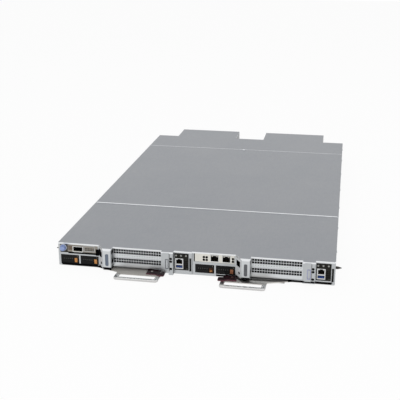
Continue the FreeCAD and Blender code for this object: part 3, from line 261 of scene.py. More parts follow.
# Painted shade: the loops' flanks are painted greyer than their crowns
LOOP_STEEL = rolled_metal("rolled_loop_steel", "#E8E8E7", "#CAC9C8", 0.24)
# Painted shade: near black for the levers' ends in the slot under the front
SHADED_ROOT_STEEL = brushed_metal("lever_steel_painted_shade", "#1C1B1A", "#151413", 0.5, "X")
# Painted highlight: a near-white steel for folded edges, post caps and the cover screw's head
HIGHLIGHT_STEEL = brushed_metal("hem_steel_painted_highlight", "#F2F4F6", "#E6E8EA", 0.30, "X")
NICKEL = brushed_metal("nickel_plated_shell", "#E2E3E2", "#D2D3D2", 0.22, "X", 0.4)
CARD_SHELL = plated_shell("nickel_card_shell", "#D9D6CC", "#CBC7BC", FRONT)
STACK_SHELL = plated_shell("nickel_stack_shell", "#D2D3D3", "#C4C5C5", STACK_FRONT)
SCREW_STEEL = brushed_metal("zinc_plated_screw", "#D9DBDC", "#C6C8CA", 0.28, "Y", 0.3)
DARK_STEEL = brushed_metal("black_zinc_steel", "#4A4946", "#3A3936", 0.35, "X", 0.4)
ALUMINIUM = brushed_metal("extruded_aluminium", "#D7D9DC", "#C9CBCE", 0.33, "Y", 0.5)
GOLD = brushed_metal("gold_flashed_contact", "#7E6A3C", "#6F5C32", 0.3, "Y", 0.3)
BLACK_PLASTIC = moulded_plastic("black_polycarbonate", "#0A0A0B", "#121214", 0.45, gloss=0.18)
CARRIER_BLACK = moulded_plastic("charcoal_carrier_abs", "#121212", "#1A1A19", 0.5, gloss=0.15)
RIB_GREY = moulded_plastic("dark_grey_abs", "#40403E", "#4B4B49", 0.4, gloss=0.3)
# Painted shade: a matt black for shade in openings, gaps and hole edges; it is also the jacks' black faces
# and one dark joint
CAVITY = moulded_plastic("matt_black_shade_and_plastic", "#050506", "#08080A", 0.95, gloss=0.08)
FAN_PLASTIC = moulded_plastic("black_glass_filled_nylon", "#141416", "#1E1E20", 0.5)
# Painted shadow: the release latches' tops are painted near black
BURGUNDY = top_shadowed_plastic("burgundy_abs", "#5F3842", "#1C0A0F")
LAMP_BROWN = moulded_plastic("smoked_lamp_acrylic", "#6A5B4C", "#75665A", 0.3, 0.8, 1.49)
ORANGE = moulded_plastic("amber_orange_abs", "#C58A4E", "#D29A60", 0.38, gloss=0.3)
# Painted shade: a darker colour for the fourth drive latch
RUSSET = moulded_plastic("russet_abs", "#8F5C42", "#9A684C", 0.38, gloss=0.3)
# Painted shade: dark brown for the sides of the drive latches
LATCH_SHADE_BROWN = moulded_plastic("dark_brown_painted_shade", "#3A2112", "#452A18", 0.45, gloss=0.2)
KNOB_BLUE = moulded_plastic("periwinkle_blue_nylon", "#8597C6", "#95A6D0", 0.4)
KNOB_CAP = moulded_plastic("pale_grey_nylon", "#BCC2CF", "#C6CCD8", 0.35)
USB_BLUE = moulded_plastic("navy_blue_socket_plastic", "#1B3470", "#25427F", 0.35, gloss=0.3)
IO_COAT = moulded_plastic("black_powder_coat", "#151411", "#1D1C18", 0.55, 0.8, gloss=0.2)
LENS = moulded_plastic("milky_lens_acrylic", "#8F908C", "#9C9D99", 0.25, 0.8, 1.49)
INSERT_BLUE = moulded_plastic("grey_blue_insert_card", "#626C7B", "#6C7685", 0.5)
INSERT_GREY = moulded_plastic("grey_insert_card", "#585A5E", "#626468", 0.5)
RIM_VIOLET = moulded_plastic("violet_grey_clip_plastic", "#8F94BC", "#989DC4", 0.45)
RIM_GREY = moulded_plastic("mid_grey_clip_plastic", "#63656C", "#6C6E75", 0.45)
BOARD = board_laminate()


def paint(material, *names):
    """Gives CAD nodes their material."""
    for name in names:
        nodes[name].data.materials.clear()
        nodes[name].data.materials.append(material)


def numbered(stem, count):
    """The names of a numbered row of nodes."""
    return ["%s_%d" % (stem, i) for i in range(1, count + 1)]


paint(COVER_STEEL, "top_cover_front", "top_cover_middle", "top_cover_rear")
paint(CHASSIS_STEEL, "chassis_base", "front_floor", "drive_cage_left", "drive_cage_right", "rear_grilles")
paint(FRONT_STEEL, "front_panel_left", "front_panel_right", "slot_retainers")
paint(POST_STEEL, "label_posts")
paint(WARM_STEEL, "qsfp_bracket")
paint(CREAM_STEEL, "rj45_bracket")
for node_side in BOTH_NODES:
    paint(SLOT_STEEL, "slot_cover_%s_upper" % node_side, "slot_cover_%s_lower" % node_side)
paint(LEVER_STEEL, "ejector_lever_left", "ejector_lever_right")
paint(BURGUNDY, "release_latch_left", "release_latch_right")
paint(BLACK_PLASTIC, "busbar_connector")
paint(CARRIER_BLACK, *numbered("drive_carrier", 4))
paint(ORANGE, *numbered("drive_latch", 4))
paint(KNOB_BLUE, "card_thumbscrew")
paint(ALUMINIUM, "heatsinks", *numbered("drive_module", 4))
paint(BOARD, "mainboards", "memory_modules")
paint(CARD_SHELL, "qsfp_card", "rj45_card")
paint(STACK_SHELL, "jack_stack_left", "jack_stack_right")
paint(DARK_STEEL, "guide_pins", "lever_pivots")
paint(IO_COAT, "io_plate_left", "io_plate_right")
paint(LENS, "status_lamps", "power_button_left", "power_button_right")
paint(FAN_PLASTIC, "fan_frames", *numbered("fan_rotor", 8))
paint(SCREW_STEEL, "cover_screw")


# Ways of shaping a piece

def cad_box(node):
    """The low and the high corner of a CAD node, in millimetres."""
    return [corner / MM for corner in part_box(node)]


def from_edge(left, place):
    """A place given from the left edge of a node, in the frame of the model."""
    return left + place[0], place[1], place[2]


def add_block(low, high):
    """A box between two corners, in the mesh being shaped if there is one."""
    middle = [(a + b) / 2 * MM for a, b in zip(low, high)]
    size = [(b - a) * MM for a, b in zip(low, high)]
    bpy.ops.mesh.primitive_cube_add(size=1, location=middle, scale=size)


def start_block(name, low, high):
    """A new box between two corners, left in edit mode with all its faces selected."""
    bpy.ops.object.select_all(action="DESELECT")
    add_block(low, high)
    return open_piece(name)


def start_rod(name, centre, radius, length, along="Y", sides=32):
    """A new round bar about its centre, left in edit mode."""
    bpy.ops.object.select_all(action="DESELECT")
    turned = {"X": (0, math.pi / 2, 0), "Y": (math.pi / 2, 0, 0)}[along]
    bpy.ops.mesh.primitive_cylinder_add(
        vertices=sides, radius=radius * MM, depth=length * MM,
        location=[v * MM for v in centre], rotation=turned,
    )
    return open_piece(name)


def open_piece(name):
    """Names the new primitive, puts its place in its mesh and opens it for shaping."""
    piece = bpy.context.object
    piece.name = name
    piece.data.name = name
    bpy.ops.object.transform_apply(location=True, rotation=True, scale=True)
    bpy.ops.object.mode_set(mode="EDIT")
    bpy.ops.mesh.select_mode(type="FACE")
    return piece


def pick(piece, test):
    """Selects the faces whose middle, in millimetres, and normal pass a test."""
    bpy.ops.mesh.select_all(action="DESELECT")
    mesh = bmesh.from_edit_mesh(piece.data)
    for face in mesh.faces:
        face.select_set(test(face.calc_center_median() / MM, face.normal))
    bmesh.update_edit_mesh(piece.data)


def pick_edges(piece, test):
    """Selects the sharp or open edges whose middle, in millimetres, and direction pass a test."""
    bpy.ops.mesh.select_mode(type="EDGE")
    bpy.ops.mesh.select_all(action="DESELECT")
    mesh = bmesh.from_edit_mesh(piece.data)
    for edge in mesh.edges:
        ends = [corner.co / MM for corner in edge.verts]
        sharp = edge.is_boundary or edge.calc_face_angle(0) > math.radians(30)
        edge.select_set(sharp and test((ends[0] + ends[1]) / 2, (ends[1] - ends[0]).normalized()))
    bmesh.update_edit_mesh(piece.data)


def faces_front(place, normal):
    """Picks faces that look to the front."""
    return normal.y < -0.9


def faces_front_or_rear(place, normal):
    """Picks faces that look to the front or to the rear."""
    return abs(normal.y) > 0.9


def runs_back(place, along):
    """Picks edges that run from the front to the rear."""
    return abs(along.y) > 0.9


def extrude(x=0, y=0, z=0):
    """Pulls the picked faces or edges out by millimetres."""
    bpy.ops.mesh.extrude_region_move(TRANSFORM_OT_translate={"value": (x * MM, y * MM, z * MM)})


def move(x=0, y=0, z=0):
    """Moves the picked faces by millimetres."""
    bpy.ops.transform.translate(value=(x * MM, y * MM, z * MM))


def inset(width, each=False):
    """Insets the picked faces, together or each by itself."""
    bpy.ops.mesh.inset(thickness=width * MM, use_individual=each)


def bevel(width, steps=3):
    """Rounds the picked edges."""
    bpy.ops.mesh.bevel(offset=width * MM, segments=steps, affect="EDGES")
    bpy.ops.mesh.select_mode(type="FACE")


def soften(piece, width, steps=2):
    """Rounds every sharp edge of a shaped piece."""
    rounding = piece.modifiers.new("softened", "BEVEL")
    rounding.width = width * MM
    rounding.segments = steps
    rounding.limit_method = "ANGLE"
    rounding.angle_limit = math.radians(40)
    bpy.ops.object.modifier_apply(modifier="softened")


def end_shaping(piece, material, soft=0.0):
    """Leaves edit mode, rounds the edges if asked to and gives the piece its material."""
    bpy.ops.object.mode_set(mode="OBJECT")
    if soft:
        soften(piece, soft)
    bpy.ops.object.shade_smooth_by_angle(angle=SMOOTH_ANGLE)
    piece.data.materials.clear()
    piece.data.materials.append(material)


def put_on(piece, body, stands_for=()):
    """Puts a piece on its body and in the place of the nodes that it stands for."""
    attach(piece, body)
    if stands_for:
        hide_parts(*stands_for)
    return piece


def settle(piece, material, body, soft=0.0, stands_for=()):
    """Ends the shaping and puts the piece on its body."""
    end_shaping(piece, material, soft)
    return put_on(piece, body, stands_for)


def copied(piece, name, shift, body, stands_for=(), material=None, size=1, turn=0, mirrored=False):
    """A copy with its own mesh: sized and turned about the upright axis, then moved by millimetres."""
    mesh = piece.data.copy()
    mesh.name = name
    mesh.transform(Matrix.Rotation(turn, 4, "Z") @ Matrix.Scale(size, 4))
    mesh.transform(Matrix.Translation(Vector(shift) * MM))
    if mirrored:
        mesh.transform(Matrix.Diagonal((-1, 1, 1, 1)))
        mesh.flip_normals()
    if material:
        mesh.materials.clear()
        mesh.materials.append(material)
    copy = bpy.data.objects.new(name, mesh)
    bpy.context.collection.objects.link(copy)
    return put_on(copy, body, stands_for)


def start_copy(name, node):
    """A copy of a CAD node with its loose triangles merged into whole faces, left in edit mode."""
    bpy.ops.object.select_all(action="DESELECT")
    piece = bpy.data.objects.new(name, nodes[node].data.copy())
    piece.data.name = name
    bpy.context.collection.objects.link(piece)
    bpy.context.view_layer.objects.active = piece
    piece.select_set(True)
    bpy.ops.mesh.customdata_custom_splitnormals_clear()
    bpy.ops.object.mode_set(mode="EDIT")
    bpy.ops.mesh.select_mode(type="FACE")
    bpy.ops.mesh.select_all(action="SELECT")
    bpy.ops.mesh.remove_doubles(threshold=0.002 * MM)
    bpy.ops.mesh.dissolve_limited(angle_limit=math.radians(1))
    return piece


def carve(piece, cutter):
    """Takes a cutter's shape out of a piece and removes the cutter."""
    bpy.ops.object.mode_set(mode="OBJECT")
    bpy.ops.object.select_all(action="DESELECT")
    bpy.context.view_layer.objects.active = piece
    piece.select_set(True)
    hollow = piece.modifiers.new("carved", "BOOLEAN")
    hollow.object = cutter
    hollow.use_self = True
    bpy.ops.object.modifier_apply(modifier="carved")
    bpy.data.objects.remove(cutter)
    bpy.ops.object.mode_set(mode="EDIT")


def open_through(piece, width):
    """Opens a piece from front to rear, leaving an even width of it all round."""
    pick(piece, faces_front_or_rear)
    inset(width, each=True)
    bpy.ops.mesh.bridge_edge_loops()


def start_frame(name, low, high, width):
    """A flat frame facing the front, with an opening left inside an even width."""
    border = start_block(name, low, high)
    open_through(border, width)
    return border


def start_tub(name, low, high, wall):
    """A box open to the front, with an even wall."""
    tub = start_block(name, low, high)
    pick(tub, faces_front)
    inset(wall)
    extrude(y=high[1] - low[1] - wall)
    return tub


def make_plate(name, low, high, corner, material, soft=0.0):
    """A thin plate on the front of the chassis, with rounded corners."""
    plate = start_block(name, low, high)
    pick_edges(plate, runs_back)
    bevel(corner)
    return settle(plate, material, "chassis", soft)


# Cover

def make_seam_hems():
    """The folded front edges of the middle and rear covers, painted near white as painted highlights, so that
    they show as fine lines.
    """
    reach = 266
    for name, y, tall, deep in (("seam_hem_front", -209.7, 1.0, 3.4), ("seam_hem_rear", 298.9, 0.4, 1.2)):
        hem = start_block(name, (-reach, y, COVER_TOP - 0.1), (reach, y + deep, COVER_TOP + tall))
        pick_edges(hem, lambda place, along: place.z > COVER_TOP and abs(along.x) > 0.9)
        bevel(tall * 0.35)
        settle(hem, HIGHLIGHT_STEEL, "chassis")


def make_screw():
    """A pan-head screw with a cross recess, facing the front at the origin."""
    screw = start_rod("bracket_screw", (0, -0.5, 0), 2.4, 1.4, sides=28)
    pick(screw, faces_front)
    inset(0.5)
    move(y=-0.35)
    inset(0.4)
    bpy.ops.object.mode_set(mode="OBJECT")
    cutter = start_block("cross_cutter", (-1.5, -2, -0.3), (1.5, -0.9, 0.3))
    add_block((-0.3, -2, -1.5), (0.3, -0.9, 1.5))
    carve(screw, cutter)
    end_shaping(screw, SCREW_STEEL)
    return screw


def make_screws():
    """The screws of the cover, the management plates, the busbar clip and the rear grilles."""
    screw = make_screw()
    clip_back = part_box("busbar_connector")[0].y / MM + 2
    grille_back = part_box("rear_grilles")[1].y / MM
    clip_levels = (10, 26)
    grille_places = ((43.3, 8), (43.3, 36), (207.6, 8), (207.6, 36))
    for side, sign in SIDES.items():
        for number, level in enumerate(clip_levels, start=1):
            name = "clip_screw_%s_%d" % (side, number)
            place = (sign * 32, clip_back, level)
            copied(screw, name, place, "chassis", turn=math.pi)
        for number, (across, level) in enumerate(grille_places, start=1):
            name = "grille_screw_%s_%d" % (side, number)
            place = (sign * across, grille_back, level)
            copied(screw, name, place, "chassis", size=0.7, turn=math.pi)
    for side, left in BOTH_NODES.items():
        place = (left + 257.6, FRONT - 2.4, 11)
        copied(screw, "block_screw_" + side, place, "chassis", material=DARK_STEEL)
    low, high = cad_box("cover_screw")
    screw.name = "cover_screw_head"
    middle = Vector(((low.x + high.x) / 2, (low.y + high.y) / 2, high.z)) * MM
    upright = Matrix.Rotation(-math.pi / 2, 4, "X") @ Matrix.Scale(1.4, 4)
    screw.data.transform(Matrix.Translation(middle) @ upright)
    # Painted highlight: the cover screw's head is painted near white
    screw.data.materials[0] = HIGHLIGHT_STEEL
    put_on(screw, "chassis", ["cover_screw"])


def make_brow():
    """The folded front edge of the cover: it follows the steps of the front and is painted near white as a
    painted highlight.
    """
    high = cad_box("top_cover_front")[1]
    brow = start_copy("cover_brow", "top_cover_front")

    def off_the_front(place, normal):
        return abs(normal.z) > 0.5 or place.y > FRONT + 1 or abs(place.x) > high.x - 0.1

    pick(brow, off_the_front)
    bpy.ops.mesh.delete(type="FACE")
    pick_edges(brow, lambda place, along: place.z < high.z - 0.9 and abs(along.z) < 0.5)
    extrude(z=-1.9)
    bpy.ops.object.mode_set(mode="OBJECT")
    folded = brow.modifiers.new("folded", "SOLIDIFY")
    folded.thickness = 0.45 * MM
    folded.offset = 1
    folded.use_even_offset = True
    bpy.ops.object.modifier_apply(modifier="folded")
    bpy.ops.object.mode_set(mode="EDIT")
    settle(brow, HIGHLIGHT_STEEL, "chassis", 0.2)


def make_rivets():
    """Domed rivets along both sides, which hold the tray and the cover's flanges together."""
    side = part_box("chassis_base")[1].x / MM
    rivet = start_rod("side_rivet_right_1", (side + 0.2, -380, 38), 2.6, 0.8, "X", sides=24)
    pick(rivet, lambda place, normal: normal.x > 0.9)
    inset(0.8)
    move(x=0.35)
    settle(rivet, SCREW_STEEL, "chassis", 0.15)
    shifts = (0, 130, 260, 390, 520, 650, 760)
    for number, shift in enumerate(shifts, start=1):
        name = "side_rivet_left_%d" % number
        copied(rivet, name, (0, shift, 0), "chassis", mirrored=True)
        if shift:
            copied(rivet, "side_rivet_right_%d" % number, (0, shift, 0), "chassis")


def make_busbar_leaves():
    """Six sprung, plated leaves on each jaw of the busbar clip."""
    inner, outer, front, back, tall = 5.2, 6.2, 438, 461, 3
    levels = [7.2 + step * 3.9 for step in range(6)]
    leaves = start_block("busbar_leaves_right", (inner, front, levels[0]), (outer, back, levels[0] + tall))
    for level in levels[1:]:
        add_block((inner, front, level), (outer, back, level + tall))
    pick(leaves, lambda place, normal: normal.x < -0.9)
    inset(0.5, each=True)
    move(x=-2.4)
    settle(leaves, NICKEL, "chassis", 0.2)
    copied(leaves, "busbar_leaves_left", (0, 0, 0), "chassis", mirrored=True)


# Drives

def make_drive_latches():
    """Moulded finger latches: a rounded pad with three grip ridges on an upright pin, one on each carrier."""
    low, high = cad_box("drive_latch_1")
    stub = 1.05
    pin = Vector((high.x - 1.2, high.y - 1.2, (low.z + high.z) / 2)) * MM
    tall = (high.z - low.z) * MM
    low.z += stub
    high.z -= stub
    latch = start_block("finger_latch_1", low, high)
    pick_edges(latch, lambda place, along: abs(along.z) > 0.9 and place.y < low.y + 0.5)
    bevel(1.4, 4)
    pick(latch, lambda place, normal: normal.z > 0.9)
    inset(0.5)
    extrude(z=-0.4)
    for step in range(3):
        level = low.z + 1.5 + step * 2.4
        add_block((low.x + 1.5, low.y - 0.45, level), (high.x - 1.5, low.y + 0.6, level + 1.1))
    bpy.ops.mesh.primitive_cylinder_add(vertices=16, radius=0.55 * MM, depth=tall, location=pin)
    settle(latch, ORANGE, "drive_latch_1", 0.25, ["drive_latch_1"])
    # Painted shade: the left side and the right edge of each latch are painted dark brown
    latch.data.materials.append(LATCH_SHADE_BROWN)
    for face in latch.data.polygons:
        across = face.center.x / MM
        face.material_index = 1 if across < low.x + 3 or across > high.x - 1.2 else 0
    for number in (2, 3, 4):
        name = "drive_latch_%d" % number
        shift = (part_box(name)[0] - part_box("drive_latch_1")[0]) / MM
        copied(latch, "finger_latch_%d" % number, shift, name, [name])
    # Painted shade: latch 4 is painted russet, darker than the others, and latch 3's upper half dark brown
    bpy.data.objects["finger_latch_4"].data.materials[0] = RUSSET
    for face in bpy.data.objects["finger_latch_3"].data.polygons:
        if face.center.z / MM > (low.z + high.z) / 2:
            face.material_index = 1


def make_carrier_rims():
    """The raised border of each carrier's face, its row of ribs and its small lens."""
    low, high = cad_box("drive_carrier_1")
    rim = start_frame("carrier_rim_1", (low.x, low.y - 0.5, low.z), (high.x, low.y + 0.2, high.z), 1.0)
    settle(rim, BLACK_PLASTIC, "drive_1", 0.2)
    wide = 1.5
    starts = [low.x + 5.4 + step * 4.2 for step in range(5)]
    front, back, sill, head = low.y - 0.7, low.y + 0.2, low.z + 7.8, low.z + 10.4
    ribs = start_block("carrier_ribs_1", (starts[0], front, sill), (starts[0] + wide, back, head))
    for x in starts[1:]:
        add_block((x, front, sill), (x + wide, back, head))
    settle(ribs, RIB_GREY, "drive_1", 0.3)
    lens = start_rod("carrier_lens_1", (high.x - 3, low.y - 0.2, high.z - 2.8), 0.8, 0.8, sides=16)
    pick(lens, faces_front)
    inset(0.25)
    move(y=-0.2)
    settle(lens, LAMP_BROWN, "drive_1")
    for number in (2, 3, 4):
        body = "drive_%d" % number
        shift = (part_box("drive_carrier_%d" % number)[0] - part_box("drive_carrier_1")[0]) / MM
        copied(rim, "carrier_rim_%d" % number, shift, body)
        copied(ribs, "carrier_ribs_%d" % number, shift, body)
        copied(lens, "carrier_lens_%d" % number, shift, body)


# Network cards and management blocks

def make_knob():
    """The network card's thumbscrew: a fluted knob with a raised cap on a pale flange, and its dark plate."""
    low, high = cad_box("card_thumbscrew")
    across, level = (low.x + high.x) / 2, (low.z + high.z) / 2
    radius, flutes = 5.4, 24
    knob = start_rod("fluted_knob", (across, low.y + 2.7, level), radius, 5.4, sides=flutes * 2)

    def in_flute(place, normal):
        turn = math.atan2(place.z - level, place.x - across) / (2 * math.pi) * flutes * 2
        return abs(normal.y) < 0.5 and round(turn - 0.5) % 2 == 0

    pick(knob, in_flute)
    bpy.ops.mesh.extrude_faces_move(TRANSFORM_OT_shrink_fatten={"value": -0.35 * MM})
    pick(knob, faces_front)
    inset(1.1)
    extrude(y=-0.5)
    inset(0.4)
    settle(knob, KNOB_BLUE, "thumbscrew", stands_for=["card_thumbscrew"])
    flange = start_rod("knob_flange", (across, FRONT - 0.9, level), radius + 1.5, 1.0, sides=48)
    pick(flange, faces_front)
    inset(0.6)
    move(y=-0.4)
    settle(flange, KNOB_CAP, "thumbscrew")
    low, high = (-264.4, FRONT - 0.35, 29.2), (-249.6, FRONT + 0.1, 45.0)
    make_plate("knob_plate", low, high, 1.2, DARK_STEEL, 0.1)


def make_lamp_grid():
    """Smoked lamp windows in a small frame between the knob and the port."""
    grid = start_block("lamp_grid", (-248.2, FRONT - 0.4, 32.4), (-240.0, FRONT + 0.1, 41.2))
    for column in range(3):
        for row in range(3):
            x, z = -247.6 + column * 2.6, 33.1 + row * 2.75
            add_block((x, FRONT - 0.8, z), (x + 1.8, FRONT - 0.2, z + 1.9))
    settle(grid, LAMP_BROWN, "chassis", 0.15)


def make_bracket_seam():
    """The dark joint at the left end of the right network card's plate."""
    low, high = (2.0, FRONT - 0.25, 27.5), (3.6, FRONT + 0.1, 44.0)
    make_plate("bracket_seam_right", low, high, 0.5, CAVITY)


def make_port_frames():
    """The collar of the fast port, the border of the vents, and the two jacks' shields and black faces."""
    collar = start_frame("port_collar", (-239.2, FRONT - 1.0, 29.2), (-217.8, FRONT + 0.1, 41.0), 1.1)
    for step in range(6):
        x = -236.4 + step * 3.0
        for level in (29.0, 40.3):
            add_block((x, FRONT - 1.4, level), (x + 1.6, FRONT - 0.6, level + 0.9))
    settle(collar, NICKEL, "chassis", 0.15)
    border = start_frame("vent_border", (-216.4, FRONT - 0.4, 31.4), (-194.4, FRONT + 0.1, 43.4), 0.9)
    settle(border, FRONT_STEEL, "chassis", 0.15)
    for number, left in ((1, 34.0), (2, 56.6)):
        low, high = (left - 0.3, FRONT - 0.9, 29.2), (left + 16.3, FRONT + 0.1, 43.2)
        shield = start_frame("jack_shield_%d" % number, low, high, 1.1)
        settle(shield, NICKEL, "chassis", 0.2)
        low, high = (left + 0.9, FRONT - 0.4, 30.3), (left + 15.1, FRONT + 0.1, 42.1)
        face = start_frame("jack_face_%d" % number, low, high, 1.15)
        settle(face, CAVITY, "chassis", 0.1)


def make_contacts():
    """Eight sprung contacts in each network jack, shaped in the first and copied to the others."""
    left, level = 36.1, 32.0
    front, back, wide, tall = FRONT + 5, FRONT + 9, 0.45, 0.4
    starts = [left + 1.2 + step * 1.27 for step in range(8)]
    comb = start_block("jack_contacts_1", (starts[0], front, level), (starts[0] + wide, back, level + tall))
    for x in starts[1:]:
        add_block((x, front, level), (x + wide, back, level + tall))
    pick(comb, faces_front)
    extrude(y=-0.5, z=-0.35)
    settle(comb, GOLD, "chassis")
    others = {
        "jack_contacts_2": (58.7, FRONT, 32.0),
        "management_contacts_left": (LEFT_NODE + 236.7, STACK_FRONT, 21.6),
        "management_contacts_right": (RIGHT_NODE + 236.7, STACK_FRONT, 21.6),
    }
    origin = Vector((left, FRONT, level))
    for name, place in others.items():
        copied(comb, name, Vector(place) - origin, "chassis")


def make_usb_tongues():
    """The blue tongue of each serial port."""
    for side, left in BOTH_NODES.items():
        low, high = (left + 236.9, STACK_FRONT + 0.4, 13.2), (left + 248.3, STACK_FRONT + 9, 16.4)
        tongue = start_block("usb_tongue_" + side, low, high)
        pick(tongue, faces_front)
        inset(0.4)
        move(y=-0.25)
        settle(tongue, USB_BLUE, "chassis", 0.15)


# Front plates

def make_label_inserts():
    """The rounded plates in the label posts, left bare."""
    for side, left in BOTH_NODES.items():
        low, high = (left + 100.4, POST_STEP - 1.8, 12.2), (left + 106.6, POST_STEP - 1.0, 36.3)
        insert = start_block("label_insert_" + side, low, high)
        pick_edges(insert, runs_back)
        bevel(2.4, 5)
        pick(insert, faces_front)
        inset(0.7)
        extrude(y=0.3)
        settle(insert, INSERT_BLUE if side == "left" else INSERT_GREY, "chassis")


def make_retainer_rims():
    """The plastic rims round the windows of the slot retainers."""
    for side, left in BOTH_NODES.items():
        low, high = (left + 217.3, RETAINER_STEP - 2.3, 13.2), (left + 223.7, RETAINER_STEP - 1.4, 32.8)
        rim = start_frame("retainer_rim_" + side, low, high, 1.0)
        settle(rim, RIM_GREY if side == "left" else RIM_VIOLET, "chassis", 0.25)


def make_painted_shade_boxes():
    """Black boxes behind the openings of the front: painted shade that keeps them dark as deep holes are."""
    wall = 0.8
    tubs = {
        "slot_shade_box_": ((112.2, FRONT - 3.1, 8.3), (208.8, FRONT + 51, 44.7)),
        "post_shade_box_": ((83.8, FRONT + 1.3, 12), (95, FRONT + 21, 40)),
        "lamp_hole_shade_box_": ((224.2, RETAINER_STEP + 1.3, 9), (230.7, FRONT + 11, 38)),
        "side_shade_box_": ((261.4, FRONT + 1.3, 5.2), (266.8, FRONT + 7, 35)),
    }
    for side, left in BOTH_NODES.items():
        for stem, (low, high) in tubs.items():
            tub = start_tub(stem + side, from_edge(left, low), from_edge(left, high), wall)
            finish = RIB_GREY if stem == "side_shade_box_" else CAVITY
            settle(tub, finish, "chassis")


def make_left_recess():
    """Black plates, painted shade for the dark corner between the left card and the slanted wall beside it,
    and for the gap under the card.
    """
    low, high = (-264, FRONT - 0.3, 27.0), (-190, FRONT + 0.1, 28.8)
    make_plate("card_gap_left", low, high, 0.6, CAVITY)
    low, high = (-192.4, FRONT - 0.3, 24.0), (-186.0, FRONT + 0.1, 37.4)
    make_plate("corner_shade_left", low, high, 0.8, CAVITY)
    wall = make_plate("wall_shade_left", (0.2, -0.3, 26.5), (13.4, 0.1, 41), 0.8, CAVITY)
    foot = Vector((-186, FRONT, 0)) * MM
    wall.data.transform(Matrix.Translation(foot) @ Matrix.Rotation(WALL_SLANT, 4, "Z"))


def make_edge_strips():
    """Black strips on the lower edges of the front and on the wall beside the slots, painted shadow that
    stands for the deep shadow in the gaps there, and a folded cap on each label post, painted near white as a
    painted highlight."""
    places = {
        "post_strip_left": ((-172.5, POST_STEP - 2.3, 6.9), (-157.5, POST_STEP + 0.1, 9.1)),
        "post_strip_right": ((96.0, POST_STEP - 2.3, 6.9), (111.0, POST_STEP + 0.1, 9.6)),
        "retainer_strip_right": ((209.0, RETAINER_STEP - 1.9, 5.8), (231.6, RETAINER_STEP + 0.2, 8.2)),
        "bay_strip_left": ((-263.6, FRONT - 0.5, 2.75), (-188.6, FRONT + 0.1, 4.95)),
        "block_strip_right": ((232.2, FRONT - 2.3, 3.4), (264.0, FRONT - 1.9, 5.6)),
    }
    cap = ((96.1, POST_STEP - 2.4, 42.8), (110.9, POST_STEP + 0.1, 46.6))
    for side, left in BOTH_NODES.items():
        places["post_cap_" + side] = [from_edge(left, corner) for corner in cap]
        for number, level in ((1, 16.6), (2, 35.0)):
            bar = ((111.9, POST_STEP + 0.6, level), (112.4, FRONT - 5, level + 6.2))
            places["wall_strip_%s_%d" % (side, number)] = [from_edge(left, corner) for corner in bar]
    for name, (low, high) in places.items():
        strip = start_block(name, low, high)
        pick_edges(strip, lambda place, along: abs(along.x) > 0.9)
        bevel(0.2)
        if name.startswith("post_cap"):
            settle(strip, HIGHLIGHT_STEEL, "chassis")
        else:
            settle(strip, CAVITY, "chassis")


def make_retainer_seams():
    """The dark joint between each slot retainer and the panel beside it, partly painted shadow: a dark plate
    where the retainer's shadow falls in the groove.
    """
    for side, left in BOTH_NODES.items():
        low, high = (left + 224.7, RETAINER_STEP - 0.2, 8), (left + 225.5, RETAINER_STEP + 0.2, 44)
        make_plate("retainer_seam_" + side, low, high, 0.3, DARK_STEEL)


def make_hole_shade_rings():
    """Black rings in the round holes of the front, painted shade that darkens their edges."""
    places = {}
    for side, left in BOTH_NODES.items():
        for number, level in enumerate((12.8, 27.8, 33.5), start=1):
            places["lamp_grommet_%s_%d" % (side, number)] = (left + 228, RETAINER_STEP, level), 0
        places["wall_grommet_" + side] = (left + 90.5, FRONT - 11.1, 15), WALL_SLANT
    for column, across in enumerate((21.4, 26.9, 77.2), start=1):
        for row, level in enumerate((32, 37.5), start=1):
            places["card_grommet_%d_%d" % (column, row)] = (across, FRONT, level), 0
    ring = start_rod("ring", (0, 0, 0), 2.5, 0.5, sides=24)
    open_through(ring, 0.75)
    end_shaping(ring, CAVITY, 0.12)
    for name, (place, turn) in places.items():
        copied(ring, name, place, "chassis", turn=turn)
    bpy.data.objects.remove(ring)


# Levers

def make_lever(side, sign):
    """A stamped lever with a rolled grip loop, and its end at the pivot painted black as painted shade."""
    node = "ejector_lever_" + side
    shade_start = SHADE_STARTS[side]
    lever = start_copy("stamped_lever_" + side, node)
    bpy.ops.mesh.select_all(action="SELECT")
    bpy.ops.mesh.bisect(plane_co=(0, LOOP_ROOT * MM, 0), plane_no=(0, 1, 0))
    bpy.ops.mesh.select_all(action="SELECT")
    bpy.ops.mesh.bisect(plane_co=(sign * shade_start * MM, 0, 0), plane_no=(1, 0, 0))
    pick_edges(lever, lambda place, along: place.y < LOOP_ROOT - 6 and abs(along.z) < 0.5)
    bevel(1.4, 4)
    # Painted light: the left plate is a lighter copy of the right's steel, though the two are probably alike
    plate_steel = LIT_LEVER_STEEL if side == "left" else LEVER_STEEL
    settle(lever, plate_steel, "lever_" + side, 0.2, [node])
    lever.data.materials.append(LOOP_STEEL)
    # Painted shade: faces beyond the shade's start take the black steel
    lever.data.materials.append(SHADED_ROOT_STEEL)
    for face in lever.data.polygons:
        across, along, _ = face.center / MM
        face.material_index = 1 if along < LOOP_ROOT else 2 if abs(across) > shade_start else 0


def make_release_latch(side, sign):
    """A moulded latch with five finger grooves across its top."""
    node = "release_latch_" + side
    top = cad_box(node)[1].z
    latch = start_copy("moulded_latch_" + side, node)
    bpy.ops.object.mode_set(mode="OBJECT")
    wide, front, back, floor, clear = 1.4, -476, -459, top - 0.5, top + 1
    starts = [sign * (66 + step * 3.4) - 0.7 for step in range(5)]
    cutter = start_block("groove_cutter", (starts[0], front, floor), (starts[0] + wide, back, clear))
    for x in starts[1:]:
        add_block((x, front, floor), (x + wide, back, clear))
    carve(latch, cutter)
    settle(latch, BURGUNDY, "latch_" + side, 0.3, [node])


